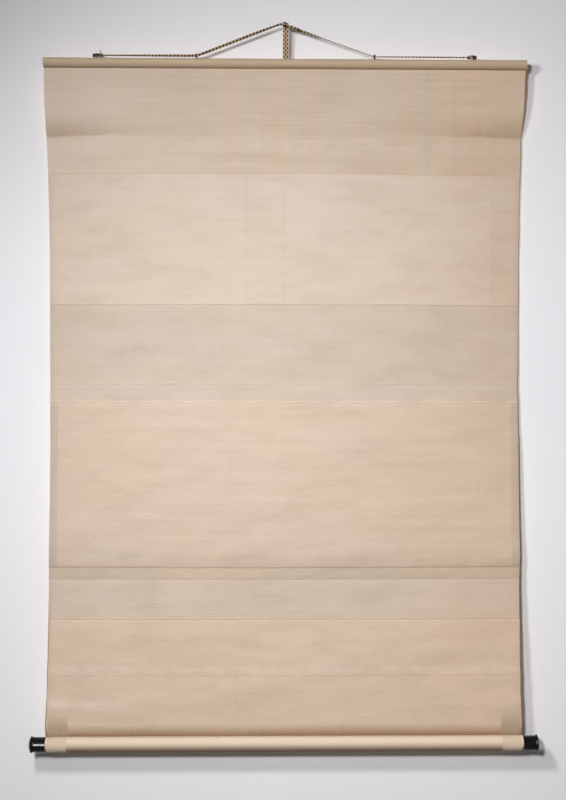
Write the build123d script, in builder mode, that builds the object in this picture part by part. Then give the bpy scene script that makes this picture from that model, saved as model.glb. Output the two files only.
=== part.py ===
"""A hanging paper scroll, hung with its backing side to -Y and its picture side to the wall at +Y.

Millimetres, +Z up. The origin is the point under the hanging cord where a hook takes it.
"""

import os
from math import asin, atan2, cos, hypot, pi, sin, tan

from build123d import *

# Placing: the hook point is left of the middle of the stave
HANG_DROP = 64.0  # hook point down to the top of the covered stave
MIDDLE_X = 9.0  # middle of the stave, right of the hook point
FIT = 0.1  # paste line or clearance between two pieces that fit together

# Sheet of pasted paper and silk; drops are measured down from the top of the covered stave
SHEET_WIDTH = 900.0  # at the stave
ROLL_DRAWN_IN = 6.0  # each side edge is drawn in by this at the roller
SHEET_THICK = 0.65
CREASE_DROP = 140.0  # fold across the cover silk
UPPER_FOLD_DROP = 604.5  # fold at the join above the picture
LOWER_FOLD_DROP = 970.5  # fold at the join below the picture
FOLD_IN = 5.5  # a fold lies this much nearer the wall than a straight sheet
BILLOW = 2.5  # and the sheet between two folds this much
EDGE_SAG = 27.0  # most that the side edges curl towards the wall
EDGE_WAIST = 7.0  # most that a side edge is drawn in
TAIL_RUN = 75.0  # height above the roller's axis from which the sheet lies flat across
TAIL_R = 55.0  # radius of its bend back behind the roller
TAIL_LEAN = 32.0  # degrees that it leans where it meets the roller

# Cover silk and corner patches, pasted on the back
SILK_DROP = 212.0
SILK_THICK = 0.35
SILK_INSET = 0.5
PATCH_WIDTH = 36.0
PATCH_TALL = 63.0  # above the roller's axis
PATCH_THICK = 0.15
PATCH_INSET = 3.0
PATCH_CORNER = 9.0

# Top stave, a half-round batten with its flat side to the wall
STAVE_TALL = 16.0
STAVE_LAND = 5.0  # straight part of the top before the round front begins
STAVE_INSET = 0.4

# Roller rod and its end knobs
ROLLER_DROP = 1276.0  # axis of the rod
ROLLER_Y = -14.0
ROD_DIA = 27.0
TENON_DIA = 14.0
TENON_LONG = 17.0
KNOB_LONG = 32.0
KNOB_NECK_DIA = 25.4
KNOB_FOOT_DIA = 26.4
KNOB_RIM_DIA = 31.0
KNOB_RIM_WIDE = 1.3
KNOB_LIP = 0.7  # step from the rim to the dome
KNOB_DOME = 4.6

# Eyelets and washers on the stave
EYE_OUTER_IN = 99.0  # outer eyelet, in from the side edge of the sheet
EYE_INNER_IN = 284.0  # inner eyelet, in from the same edge
EYE_INSET = 3.0  # from the flat side of the stave
EYE_HOLE_DIA = 6.6
EYE_BAND = 0.9
EYE_WIDE = 2.6
EYE_NECK = 0.6  # shank that shows between washer and ring
SHANK_DIA = 2.4
SHANK_LONG = 11.0
SHANK_POINT = 2.2
WASHER_DIA = 7.0
WASHER_THICK = 0.6

# Hanging cord, a flat braid lying flat over the hook and through the rings
CORD_WIDE = 6.0
CORD_THICK = 2.0
HOOK_HALF = 4.0  # half of the stretch that lies on the hook
RING_HALF = 3.0  # half of the stretch inside a ring
KNOT_LONG = 10.0
KNOT_DIA = 8.2
KNOT_END_DIA = 6.6
KNOT_GAP = 3.6  # from the eyelet's middle to the knot
LOOP_DIA = 2.0

# Winding ribbon and its hitch on the hanging cord
RIBBON_WIDE = 10.0
RIBBON_THICK = 1.6
RIBBON_LONG = 900.0
HITCH_X = 13.0
HITCH_WIDE = 11.0
HITCH_WALL = 1.5
HITCH_UP = 4.6
HITCH_DOWN = 6.0
HITCH_ROUND = 2.0
STAVE_CLEAR = 3.8  # from the stave's cover to the middle of the ribbon
RIBBON_BEND_DROP = 150.0  # the ribbon goes on leaning this far below the stave, then hangs straight
RIBBON_OUT = 2.4

# Derived places
STAVE_TOP_Z = -HANG_DROP - SHEET_THICK - FIT
STAVE_Z = STAVE_TOP_Z - STAVE_TALL / 2
STAVE_LOW_Z = STAVE_Z - STAVE_TALL / 2 - FIT - SHEET_THICK
POCKET_Y = EYE_INSET + FIT + SHEET_THICK
ROLLER_Z = -HANG_DROP - ROLLER_DROP
ROLL_WIDTH = SHEET_WIDTH - 2 * ROLL_DRAWN_IN
WRAP_R = ROD_DIA / 2 + FIT + SHEET_THICK
TAIL_TURN = TAIL_LEAN * pi / 180
TAIL_TOP_Z = ROLLER_Z + TAIL_RUN
TAIL_TOP_Y = ROLLER_Y + WRAP_R * cos(TAIL_TURN) - TAIL_R * (1 - cos(TAIL_TURN))
TAIL_LOW_Z = ROLLER_Z + WRAP_R * sin(TAIL_TURN)
TAIL_BEND_Z = TAIL_LOW_Z + TAIL_R * sin(TAIL_TURN)
CREASE_Z = -HANG_DROP - CREASE_DROP
UPPER_Z = -HANG_DROP - UPPER_FOLD_DROP
LOWER_Z = -HANG_DROP - LOWER_FOLD_DROP
RING_R = EYE_HOLE_DIA / 2 + EYE_BAND
RING_Z = -HANG_DROP + WASHER_THICK + EYE_NECK + RING_R
EYE_OUTER_X = SHEET_WIDTH / 2 - EYE_OUTER_IN
EYE_INNER_X = SHEET_WIDTH / 2 - EYE_INNER_IN
EYES = {
    "outer_left": MIDDLE_X - EYE_OUTER_X,
    "inner_left": MIDDLE_X - EYE_INNER_X,
    "inner_right": MIDDLE_X + EYE_INNER_X,
    "outer_right": MIDDLE_X + EYE_OUTER_X,
}
MIDDLE_PLANE = Plane.YZ.offset(MIDDLE_X)


def sheet_row(z, inward, sag, waist):
    """Height, picture face in the middle, sag and waist of one section of the sheet."""
    along = (STAVE_LOW_Z - z) / (STAVE_LOW_Z - TAIL_TOP_Z)
    return z, POCKET_Y + along * (TAIL_TOP_Y - POCKET_Y) + inward, sag * EDGE_SAG, waist


def strip_across(row, near, far, inset):
    """The sheet's section at one height, between two distances from its picture face."""
    z, y, sag, waist = row
    left = MIDDLE_X - SHEET_WIDTH / 2 + waist + inset
    right = MIDDLE_X + SHEET_WIDTH / 2 - waist - inset
    with BuildSketch(Plane.XY.offset(z)) as strip:
        with BuildLine():
            near_line = Bezier((left, y + sag + near), (MIDDLE_X, y - sag + near), (right, y + sag + near))
            far_line = Bezier((left, y + sag + far), (MIDDLE_X, y - sag + far), (right, y + sag + far))
            Line(near_line @ 0, far_line @ 0)
            Line(near_line @ 1, far_line @ 1)
        make_face()
    return strip.sketch


def stave_section(grow):
    """The stave's half-round section, enlarged all round."""
    high = STAVE_TALL / 2 + grow
    back = EYE_INSET + grow
    land = EYE_INSET - STAVE_LAND
    with BuildSketch(MIDDLE_PLANE) as section:
        with BuildLine():
            flat_side = Polyline(
                (land, STAVE_Z - high),
                (back, STAVE_Z - high),
                (back, STAVE_Z + high),
                (land, STAVE_Z + high),
            )
            ThreePointArc(flat_side @ 1, (land - high, STAVE_Z), flat_side @ 0)
        make_face()
    return section.sketch


def tail_section(near, far, top_z):
    """The sheet's end that bends back behind the roller, between two distances from its picture face."""
    with BuildSketch(MIDDLE_PLANE) as section:
        with Locations((TAIL_TOP_Y + TAIL_R, TAIL_BEND_Z)):
            Circle(TAIL_R + far)
            Circle(TAIL_R + near, mode=Mode.SUBTRACT)
        with Locations((TAIL_TOP_Y, (TAIL_LOW_Z + TAIL_BEND_Z) / 2)):
            Rectangle(2 * WRAP_R, TAIL_BEND_Z - TAIL_LOW_Z, mode=Mode.INTERSECT)
        with Locations((TAIL_TOP_Y - (near + far) / 2, (TAIL_BEND_Z + top_z) / 2)):
            Rectangle(far - near, top_z - TAIL_BEND_Z)
    return section.sketch


def bend_radii(points):
    """Give each inner corner of a free route the largest radius that leaves straight runs between."""
    radii = []
    for a, b, c in zip(points, points[1:], points[2:]):
        first = Vector(*b) - Vector(*a)
        second = Vector(*c) - Vector(*b)
        turn = first.get_angle(second) * pi / 180
        radii.append(0.45 * min(first.length, second.length) / tan(turn / 2))
    return radii


# Each bay of the sheet runs from one fold to the next, with a section half way
top_row = sheet_row(STAVE_LOW_Z, 0.0, 0.0, 0.0)
crease_row = sheet_row(CREASE_Z, 0.7 * FOLD_IN, 0.74, 0.4 * EDGE_WAIST)
upper_row = sheet_row(UPPER_Z, FOLD_IN, 0.96, EDGE_WAIST)
lower_row = sheet_row(LOWER_Z, FOLD_IN, 0.36, 0.9 * EDGE_WAIST)
tail_row = sheet_row(TAIL_TOP_Z, 0.0, 0.0, ROLL_DRAWN_IN)
BAYS = [
    [top_row, sheet_row((STAVE_LOW_Z + CREASE_Z) / 2, 0.1 * BILLOW, 0.14, 0.1 * EDGE_WAIST), crease_row],
    [crease_row, sheet_row((CREASE_Z + UPPER_Z) / 2, BILLOW, 1.0, 0.9 * EDGE_WAIST), upper_row],
    [upper_row, sheet_row((UPPER_Z + LOWER_Z) / 2, BILLOW, 0.72, 0.85 * EDGE_WAIST), lower_row],
    [lower_row, sheet_row((LOWER_Z + TAIL_TOP_Z) / 2, BILLOW, 0.15, 0.88 * EDGE_WAIST), tail_row],
]

# The sheet: four bays between folds, the pocket round the stave and the wrap round the roller
with BuildPart() as scroll_sheet:
    for bay in BAYS:
        loft([strip_across(row, -SHEET_THICK, 0.0, 0.0) for row in bay])
    extrude(stave_section(FIT + SHEET_THICK), amount=SHEET_WIDTH / 2, both=True)
    extrude(stave_section(FIT), amount=SHEET_WIDTH / 2, both=True, mode=Mode.SUBTRACT)
    extrude(tail_section(0.0, SHEET_THICK, TAIL_TOP_Z), amount=ROLL_WIDTH / 2, both=True)
    with BuildSketch(MIDDLE_PLANE):
        with Locations((ROLLER_Y, ROLLER_Z)):
            Circle(WRAP_R)
            Circle(ROD_DIA / 2 + FIT, mode=Mode.SUBTRACT)
    extrude(amount=ROLL_WIDTH / 2, both=True)
    with BuildSketch(Plane.XY.offset(-HANG_DROP)):
        with Locations(*[(x, 0) for x in EYES.values()]):
            Circle(SHANK_DIA / 2 + FIT)
    extrude(amount=-2 * SHEET_THICK, mode=Mode.SUBTRACT)

# Cover silk, a thin layer on the back from the stave down past the crease
SILK_UNDER = -SHEET_THICK - FIT
with BuildPart() as cover_silk:
    for bay in BAYS[:2]:
        loft([strip_across(row, SILK_UNDER - SILK_THICK, SILK_UNDER, SILK_INSET) for row in bay])
    split(bisect_by=Plane.XY.offset(-HANG_DROP - SILK_DROP), keep=Keep.TOP)
    split(bisect_by=Plane.XY.offset(STAVE_LOW_Z - FIT), keep=Keep.BOTTOM)
    split(bisect_by=MIDDLE_PLANE, keep=Keep.TOP)
    mirror(about=MIDDLE_PLANE)

# Corner patches, pasted over the sheet's lower corners and on round the roller
PATCH_R = WRAP_R + FIT
PATCH_FAR = SHEET_THICK + FIT + PATCH_THICK
PATCH_OUT = ROLL_WIDTH / 2 - PATCH_INSET
with BuildPart() as corner_patch_right:
    extrude(tail_section(SHEET_THICK + FIT, PATCH_FAR, ROLLER_Z + PATCH_TALL), amount=PATCH_OUT)
    with BuildSketch(MIDDLE_PLANE):
        with Locations((ROLLER_Y, ROLLER_Z)):
            Circle(PATCH_R + PATCH_THICK)
    extrude(amount=PATCH_OUT)
    with BuildSketch(MIDDLE_PLANE):
        with Locations((ROLLER_Y, ROLLER_Z)):
            Circle(PATCH_R)
        with Locations((TAIL_TOP_Y + TAIL_R, TAIL_BEND_Z)):
            Circle(TAIL_R + SHEET_THICK + FIT)
    extrude(amount=PATCH_OUT, mode=Mode.SUBTRACT)
    with BuildSketch(Plane((MIDDLE_X + PATCH_OUT, 0, ROLLER_Z), x_dir=(1, 0, 0), z_dir=(0, -1, 0))):
        with Locations((-PATCH_WIDTH / 2, 0)):
            outline = Rectangle(PATCH_WIDTH, 2 * PATCH_TALL)
        fillet(outline.vertices().group_by(Axis.Z)[-1].sort_by(Axis.X)[0], PATCH_CORNER)
    extrude(amount=TAIL_RUN, both=True, mode=Mode.INTERSECT)

with BuildPart() as corner_patch_left:
    mirror(corner_patch_right.part, about=MIDDLE_PLANE)

# Top stave, with a hole for each eyelet's shank
with BuildPart() as top_stave:
    extrude(stave_section(0.0), amount=SHEET_WIDTH / 2 - STAVE_INSET, both=True)
    with BuildSketch(Plane.XY.offset(STAVE_TOP_Z)):
        with Locations(*[(x, 0) for x in EYES.values()]):
            Circle(SHANK_DIA / 2 + FIT)
    extrude(amount=-SHANK_LONG, mode=Mode.SUBTRACT)

# Roller rod with a tenon at each end
with BuildPart() as roller_rod:
    with BuildSketch(MIDDLE_PLANE):
        with Locations((ROLLER_Y, ROLLER_Z)):
            Circle(ROD_DIA / 2)
    extrude(amount=ROLL_WIDTH / 2, both=True)
    with BuildSketch(MIDDLE_PLANE):
        with Locations((ROLLER_Y, ROLLER_Z)):
            Circle(TENON_DIA / 2)
    extrude(amount=ROLL_WIDTH / 2 + TENON_LONG, both=True)
    chamfer(roller_rod.edges().filter_by(GeomType.CIRCLE).group_by(Axis.X)[0], 1.0)
    chamfer(roller_rod.edges().filter_by(GeomType.CIRCLE).group_by(Axis.X)[-1], 1.0)

# End knobs, turned with a waisted neck, a flared rim and a domed end
KNOB_X = MIDDLE_X + ROLL_WIDTH / 2
RIM_X = KNOB_LONG - KNOB_DOME
DOME_EDGE = KNOB_RIM_DIA / 2 - KNOB_LIP
DOME_R = (DOME_EDGE**2 + KNOB_DOME**2) / (2 * KNOB_DOME)
DOME_TURN = asin(DOME_EDGE / DOME_R) / 2
with BuildPart() as knob_right:
    with BuildSketch(Plane((KNOB_X, ROLLER_Y, ROLLER_Z), x_dir=(1, 0, 0), z_dir=(0, -1, 0))):
        with BuildLine():
            foot = Line((0, 0), (0, KNOB_FOOT_DIA / 2))
            flare = Spline(
                foot @ 1,
                (0.33 * RIM_X, KNOB_NECK_DIA / 2),
                (RIM_X - KNOB_RIM_WIDE, KNOB_RIM_DIA / 2),
                tangents=((1, -0.16), (1, 0.62)),
            )
            rim = Line(flare @ 1, (RIM_X, KNOB_RIM_DIA / 2))
            lip = Line(rim @ 1, (RIM_X, DOME_EDGE))
            dome_middle = (KNOB_LONG - DOME_R * (1 - cos(DOME_TURN)), DOME_R * sin(DOME_TURN))
            dome = ThreePointArc(lip @ 1, dome_middle, (KNOB_LONG, 0))
            Line(dome @ 1, (0, 0))
        make_face()
    revolve(axis=Axis((KNOB_X, ROLLER_Y, ROLLER_Z), (1, 0, 0)))
    with BuildSketch(Plane.YZ.offset(KNOB_X)):
        with Locations((ROLLER_Y, ROLLER_Z)):
            Circle(TENON_DIA / 2 + FIT)
    extrude(amount=TENON_LONG + FIT, mode=Mode.SUBTRACT)

with BuildPart() as knob_left:
    mirror(knob_right.part, about=MIDDLE_PLANE)

pieces = {
    "scroll_sheet": scroll_sheet,
    "cover_silk": cover_silk,
    "corner_patch_left": corner_patch_left,
    "corner_patch_right": corner_patch_right,
    "top_stave": top_stave,
    "roller_rod": roller_rod,
    "knob_left": knob_left,
    "knob_right": knob_right,
}

# Eyelets: a flat band bent to a ring on a pointed shank, each with a washer on the stave's cover
for place, eye_x in EYES.items():
    with BuildPart() as eyelet:
        with BuildSketch(Plane.YZ.offset(eye_x)):
            with Locations((0, RING_Z)):
                Circle(RING_R)
                Circle(EYE_HOLE_DIA / 2, mode=Mode.SUBTRACT)
        extrude(amount=EYE_WIDE / 2, both=True)
        fillet(eyelet.edges().filter_by(GeomType.CIRCLE), EYE_BAND / 3)
        shank_top = (eye_x, 0, RING_Z - RING_R + EYE_BAND / 2)
        with BuildSketch(Plane(shank_top, x_dir=(1, 0, 0), z_dir=(0, -1, 0))):
            with BuildLine():
                Polyline(
                    (0, 0),
                    (SHANK_DIA / 2, 0),
                    (SHANK_DIA / 2, SHANK_POINT - SHANK_LONG),
                    (0, -SHANK_LONG),
                    close=True,
                )
            make_face()
        revolve(axis=Axis((eye_x, 0, RING_Z), (0, 0, 1)))
    pieces["eyelet_" + place] = eyelet
    with BuildPart() as washer:
        with BuildSketch(Plane.XY.offset(-HANG_DROP)):
            with Locations((eye_x, 0)):
                Circle(WASHER_DIA / 2)
                Circle(SHANK_DIA / 2 + FIT, mode=Mode.SUBTRACT)
        extrude(amount=WASHER_THICK)
        fillet(washer.edges().filter_by(GeomType.CIRCLE).sort_by(SortBy.RADIUS)[-1], WASHER_THICK / 2)
    pieces["washer_" + place] = washer

# Knots: a spindle beside each outer eyelet, with a loop of cord round the top of its ring
BAND_Z = RING_Z + EYE_HOLE_DIA / 2 + EYE_BAND / 2
LOOP_R = EYE_BAND / 2 + 3 * FIT + LOOP_DIA / 2
LOOP_END_X = EYES["outer_left"] - EYE_WIDE / 2 - 3 * FIT
KNOT_X = EYES["outer_left"] + KNOT_GAP
with BuildPart() as cord_knot_left:
    with BuildSketch(Plane((KNOT_X, 0, RING_Z), x_dir=(1, 0, 0), z_dir=(0, -1, 0))):
        with BuildLine():
            knot_end = Line((0, 0), (0, KNOT_END_DIA / 2))
            belly = Spline(knot_end @ 1, (0.45 * KNOT_LONG, KNOT_DIA / 2), (KNOT_LONG, KNOT_END_DIA / 2))
            Polyline(belly @ 1, (KNOT_LONG, 0), (0, 0))
        make_face()
    revolve(axis=Axis((KNOT_X, 0, RING_Z), (1, 0, 0)))
    with BuildLine(Plane((LOOP_END_X, 0, BAND_Z), x_dir=(1, 0, 0), z_dir=(0, -1, 0))) as loop_path:
        upper_leg = FilletPolyline(
            (KNOT_X + KNOT_LONG / 2 - LOOP_END_X, RING_Z - BAND_Z),
            (KNOT_X - LOOP_END_X, LOOP_R),
            (0, LOOP_R),
            radius=LOOP_DIA,
        )
        turn = ThreePointArc(upper_leg @ 1, (-LOOP_R, 0), (0, -LOOP_R))
        Line(turn @ 1, (KNOT_X + KNOT_LONG / 4 - LOOP_END_X, -LOOP_R))
    with BuildSketch(Plane(loop_path.line @ 0, z_dir=loop_path.line % 0)):
        Circle(LOOP_DIA / 2)
    sweep(path=loop_path.line)
pieces["cord_knot_left"] = cord_knot_left

with BuildPart() as cord_knot_right:
    mirror(cord_knot_left.part, about=MIDDLE_PLANE)
pieces["cord_knot_right"] = cord_knot_right

# Hanging cord: taut from knot to knot, two route points at each ring and at the hook
CORD_Z = CORD_THICK / 2
CORD_START_X = KNOT_X + KNOT_LONG + FIT
CORD_END_X = 2 * MIDDLE_X - CORD_START_X
LEFT_EYE_X = EYES["inner_left"]
RIGHT_EYE_X = EYES["inner_right"]
left_slope = atan2(CORD_Z - RING_Z, -HOOK_HALF - LEFT_EYE_X)
right_slope = atan2(CORD_Z - RING_Z, RIGHT_EYE_X - HOOK_HALF)
cord_route = [
    (CORD_START_X, 0, RING_Z),
    (LEFT_EYE_X - RING_HALF, 0, RING_Z),
    (LEFT_EYE_X + RING_HALF * cos(left_slope / 2), 0, RING_Z + RING_HALF * sin(left_slope / 2)),
    (-HOOK_HALF, 0, CORD_Z),
    (HOOK_HALF, 0, CORD_Z),
    (RIGHT_EYE_X - RING_HALF * cos(right_slope / 2), 0, RING_Z + RING_HALF * sin(right_slope / 2)),
    (RIGHT_EYE_X + RING_HALF, 0, RING_Z),
    (CORD_END_X, 0, RING_Z),
]
cord_radii = bend_radii(cord_route)
with BuildPart() as hanging_cord:
    with BuildLine() as cord_line:
        FilletPolyline(*cord_route, radius=cord_radii)
    with BuildSketch(Plane(cord_line.line @ 0, x_dir=(0, 1, 0), z_dir=cord_line.line % 0)):
        SlotOverall(CORD_WIDE, CORD_THICK)
    sweep(path=cord_line.line)
pieces["hanging_cord"] = hanging_cord

# Hitch of the ribbon round the cord, just right of the hook
HITCH_Z = CORD_Z - (HITCH_X - HOOK_HALF) * tan(right_slope)
HITCH_DEEP = CORD_WIDE + 2 * (HITCH_WALL + FIT)
with BuildPart() as ribbon_hitch:
    with BuildSketch(Plane.YZ.offset(HITCH_X)):
        with Locations((0, HITCH_Z + (HITCH_UP - HITCH_DOWN) / 2)):
            RectangleRounded(HITCH_DEEP, HITCH_UP + HITCH_DOWN, HITCH_ROUND)
    extrude(amount=HITCH_WIDE / 2, both=True)
    along_cord = (cos(right_slope), 0, -sin(right_slope))
    with BuildSketch(Plane((HITCH_X, 0, HITCH_Z), x_dir=(0, 1, 0), z_dir=along_cord)):
        SlotOverall(CORD_WIDE + 2 * FIT, CORD_THICK + 2 * FIT)
    extrude(amount=HITCH_WIDE, both=True, mode=Mode.SUBTRACT)
pieces["ribbon_hitch"] = ribbon_hitch

# Winding ribbon: from the hitch down behind the stave and along the picture side
RIBBON_TOP_Z = HITCH_Z - HITCH_DOWN
RIBBON_PASS_Y = POCKET_Y + STAVE_CLEAR
RIBBON_PASS_Z = -HANG_DROP + RIBBON_THICK
RIBBON_BEND = (HITCH_X, RIBBON_PASS_Y + RIBBON_OUT, RIBBON_PASS_Z - RIBBON_BEND_DROP)
top_run = hypot(RIBBON_PASS_Y, RIBBON_TOP_Z - RIBBON_PASS_Z)
ribbon_route = [
    (HITCH_X, 0, RIBBON_TOP_Z),
    (HITCH_X, RIBBON_PASS_Y, RIBBON_PASS_Z),
    RIBBON_BEND,
    (HITCH_X, RIBBON_BEND[1], RIBBON_BEND[2] - (RIBBON_LONG - RIBBON_BEND_DROP - top_run)),
]
ribbon_radii = bend_radii(ribbon_route)
with BuildPart() as winding_ribbon:
    with BuildLine() as ribbon_line:
        FilletPolyline(*ribbon_route, radius=ribbon_radii)
    with BuildSketch(Plane(ribbon_line.line @ 0, x_dir=(1, 0, 0), z_dir=(0, 0, -1))):
        SlotOverall(RIBBON_WIDE, RIBBON_THICK)
    sweep(path=ribbon_line.line)
pieces["winding_ribbon"] = winding_ribbon

for cord_name, line, route, radii in (
    ("hanging_cord", cord_line, cord_route, cord_radii),
    ("winding_ribbon", ribbon_line, ribbon_route, ribbon_radii),
):
    print(cord_name, "length", round(line.wire().length, 1), "radii", [round(r, 1) for r in radii])
    print("  route", [tuple(round(v, 2) for v in p) for p in route])

os.makedirs("parts", exist_ok=True)
for piece_name, piece in pieces.items():
    piece.part.label = piece_name
    export_step(piece.part, "parts/" + piece_name + ".step")
    print(piece_name, round(piece.part.volume, 1), "mm3")
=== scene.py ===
# %% [markdown]
# # A paper scroll, hung with its back to the room
#
# The solids are already built and packed. This lesson dresses them: the pasted sheet with its joins and folds, the
# striped cover silk, the patched corners, the braided cord and ribbon, black lacquer and black iron.
# Everything stays in the frame of the solids, in metres, with +Z up and the room towards -Y.

# %% Load the solids
import math

import bpy
import numpy as np
from mathutils import Matrix, Vector


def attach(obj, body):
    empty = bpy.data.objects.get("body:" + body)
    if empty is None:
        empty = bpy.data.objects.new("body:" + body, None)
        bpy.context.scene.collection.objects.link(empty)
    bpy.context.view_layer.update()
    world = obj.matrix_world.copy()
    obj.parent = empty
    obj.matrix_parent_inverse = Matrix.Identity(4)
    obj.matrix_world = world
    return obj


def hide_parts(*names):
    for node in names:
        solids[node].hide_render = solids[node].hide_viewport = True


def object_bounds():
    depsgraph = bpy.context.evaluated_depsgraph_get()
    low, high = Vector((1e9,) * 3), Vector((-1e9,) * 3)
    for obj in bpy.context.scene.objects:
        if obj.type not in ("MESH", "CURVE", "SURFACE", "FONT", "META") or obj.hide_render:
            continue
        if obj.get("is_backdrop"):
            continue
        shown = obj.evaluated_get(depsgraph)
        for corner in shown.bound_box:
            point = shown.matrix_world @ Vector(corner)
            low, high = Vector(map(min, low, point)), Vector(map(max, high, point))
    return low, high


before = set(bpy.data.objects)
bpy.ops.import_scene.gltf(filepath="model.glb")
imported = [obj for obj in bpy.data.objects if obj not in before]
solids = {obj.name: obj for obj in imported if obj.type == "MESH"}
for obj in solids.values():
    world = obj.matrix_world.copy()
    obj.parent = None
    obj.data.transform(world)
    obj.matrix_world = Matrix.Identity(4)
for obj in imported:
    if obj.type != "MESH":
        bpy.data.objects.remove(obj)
cad_low, cad_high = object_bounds()
MM = 0.001
print("solids:", len(solids), "box in mm:", [round(v / MM) for v in cad_high - cad_low])

# %% [markdown]
# ## Small tools for meshes and shaders
#
# A few helpers keep the later cells short. One turns arrays of points and faces into a finished piece. Another adds a
# shader node and fills its inputs in one call: a socket is linked, a number is written on the input. A socket knows the
# node tree that it belongs to, so helpers that are given a socket needn't be told the tree.

# %% A piece from points and faces
def new_piece(name, points, faces, materials, which=None, smooth_below=40.0):
    """Make an object from points and faces; which gives each face the number of its material."""
    mesh = bpy.data.meshes.new(name)
    mesh.from_pydata([tuple(p) for p in points], [], [tuple(f) for f in faces])
    for material in materials:
        mesh.materials.append(material)
    if which is not None:
        mesh.polygons.foreach_set("material_index", np.asarray(which, dtype=np.int32))
    mesh.shade_smooth()
    mesh.set_sharp_from_angle(angle=math.radians(smooth_below))
    piece = bpy.data.objects.new(name, mesh)
    bpy.context.scene.collection.objects.link(piece)
    return piece


# %% Nodes and their inputs
def set_input(socket, value):
    """Link a socket to an input, or write a plain value on it."""
    if isinstance(value, bpy.types.NodeSocket):
        value.id_data.links.new(value, socket)
    else:
        socket.default_value = value


def put(tree, kind, *values, into=None, **settings):
    """Add a node to a tree, with its settings and with values for its inputs in order or by name."""
    node = tree.nodes.new(kind)
    for name, value in settings.items():
        setattr(node, name, value)
    for key, value in [*enumerate(values), *(into or {}).items()]:
        set_input(node.inputs[key], value)
    return node


def tree_of(values):
    """The tree of the first socket among some values."""
    return next(v.id_data for v in values if isinstance(v, bpy.types.NodeSocket))


# %% Arithmetic on sockets
def maths(operation, *values, clamp=False):
    return put(tree_of(values), "ShaderNodeMath", *values, operation=operation, use_clamp=clamp).outputs[0]


def times(first, second):
    return maths("MULTIPLY", first, second)


def plus(first, second, clamp=False):
    return maths("ADD", first, second, clamp=clamp)


def minus(first, second, clamp=False):
    return maths("SUBTRACT", first, second, clamp=clamp)


def rescaled(value, low, high, to_low=0.0, to_high=1.0, smooth=True):
    """A value between low and high, moved to run from to_low to to_high and held there outside."""
    kind = "SMOOTHSTEP" if smooth else "LINEAR"
    node = put(value.id_data, "ShaderNodeMapRange", value, low, high, to_low, to_high, interpolation_type=kind)
    return node.outputs[0]


def axes_of(vector):
    return put(vector.id_data, "ShaderNodeSeparateXYZ", vector).outputs


def stretched(vector, size):
    """The vector multiplied along each axis, so that a pattern on it is drawn out along the others."""
    return put(vector.id_data, "ShaderNodeVectorMath", vector, size, operation="MULTIPLY").outputs[0]


def noise(vector, scale, detail=2.0, roughness=0.5):
    """Noise on a vector; its scale is one number, or one for each axis."""
    if isinstance(scale, tuple):
        vector, scale = stretched(vector, scale), 1.0
    values = {"Vector": vector, "Scale": scale, "Detail": detail, "Roughness": roughness}
    return put(vector.id_data, "ShaderNodeTexNoise", into=values).outputs["Fac"]


def waver_of(vector, scale, reach, detail=2.0):
    """Noise round zero, which shifts a line by up to half of the reach to either side."""
    return times(minus(noise(vector, scale, detail), 0.5), reach)


def threads_along(vector, scale, distortion, axis):
    """Fine waves that run across one axis, as the threads of a weave do."""
    values = {"Vector": vector, "Scale": scale, "Distortion": distortion, "Detail": 2.0}
    return put(vector.id_data, "ShaderNodeTexWave", into=values, bands_direction=axis).outputs["Fac"]


# %% Colours
def screen_colour(red, green, blue):
    """Linear values of a colour that is given as it looks on a screen, from 0 to 255."""
    shares = [v / 255 for v in (red, green, blue)]
    return tuple(s / 12.92 if s < 0.0404 else ((s + 0.055) / 1.055) ** 2.4 for s in shares) + (1.0,)


def mixed(share, first, second):
    values = {0: share, 6: first, 7: second}
    return put(tree_of(values.values()), "ShaderNodeMix", into=values, data_type="RGBA", clamp_factor=True).outputs[2]


def tints(share, first, second):
    """A mix of two tints that are given as they look on a screen."""
    return mixed(share, screen_colour(*first), screen_colour(*second))


def laid(colour, *layers):
    """Lay tints over a colour, one after the other: each is a mask, the share of it that is used, and a tint."""
    for mask, share, tint in layers:
        colour = mixed(mask if share == 1 else times(mask, share), colour, screen_colour(*tint))
    return colour


# %% Materials and node groups
def new_material(name):
    """A new material, its Principled BSDF and its Object coordinates."""
    material = bpy.data.materials.new(name)
    material.use_nodes = True
    tree = material.node_tree
    return material, tree.nodes["Principled BSDF"], put(tree, "ShaderNodeTexCoord").outputs["Object"]


def dress(shader, colour, roughness, height, strength, depth, **plain):
    """Give a shader its colour, roughness and bump, and plain values for other inputs by name."""
    tree = shader.id_data
    bump = put(tree, "ShaderNodeBump", into={"Strength": strength, "Distance": depth, "Height": height})
    linked = {"Base Color": colour, "Roughness": roughness, "Normal": bump.outputs["Normal"]}
    for name, value in {**linked, **plain}.items():
        set_input(shader.inputs[name.replace("_", " ")], value)
    print("finish of", len(tree.nodes), "nodes")


def new_group(name, inputs, outputs):
    """A shader node group with named float or vector inputs; returns the tree and both of its ends."""
    tree = bpy.data.node_groups.new(name, "ShaderNodeTree")
    for label, value in inputs.items():
        kind = "NodeSocketFloat" if isinstance(value, float) else "NodeSocketVector"
        tree.interface.new_socket(label, in_out="INPUT", socket_type=kind).default_value = value
    for label in outputs:
        tree.interface.new_socket(label, in_out="OUTPUT", socket_type="NodeSocketFloat")
    return tree, tree.nodes.new("NodeGroupInput").outputs, tree.nodes.new("NodeGroupOutput").inputs


def place(group, **values):
    """Put a group into a material; an underscore in a name stands for the space in the input's label."""
    node = tree_of(values.values()).nodes.new("ShaderNodeGroup")
    node.node_tree = group
    for label, value in values.items():
        set_input(node.inputs[label.replace("_", " ")], value)
    return node.outputs


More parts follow.
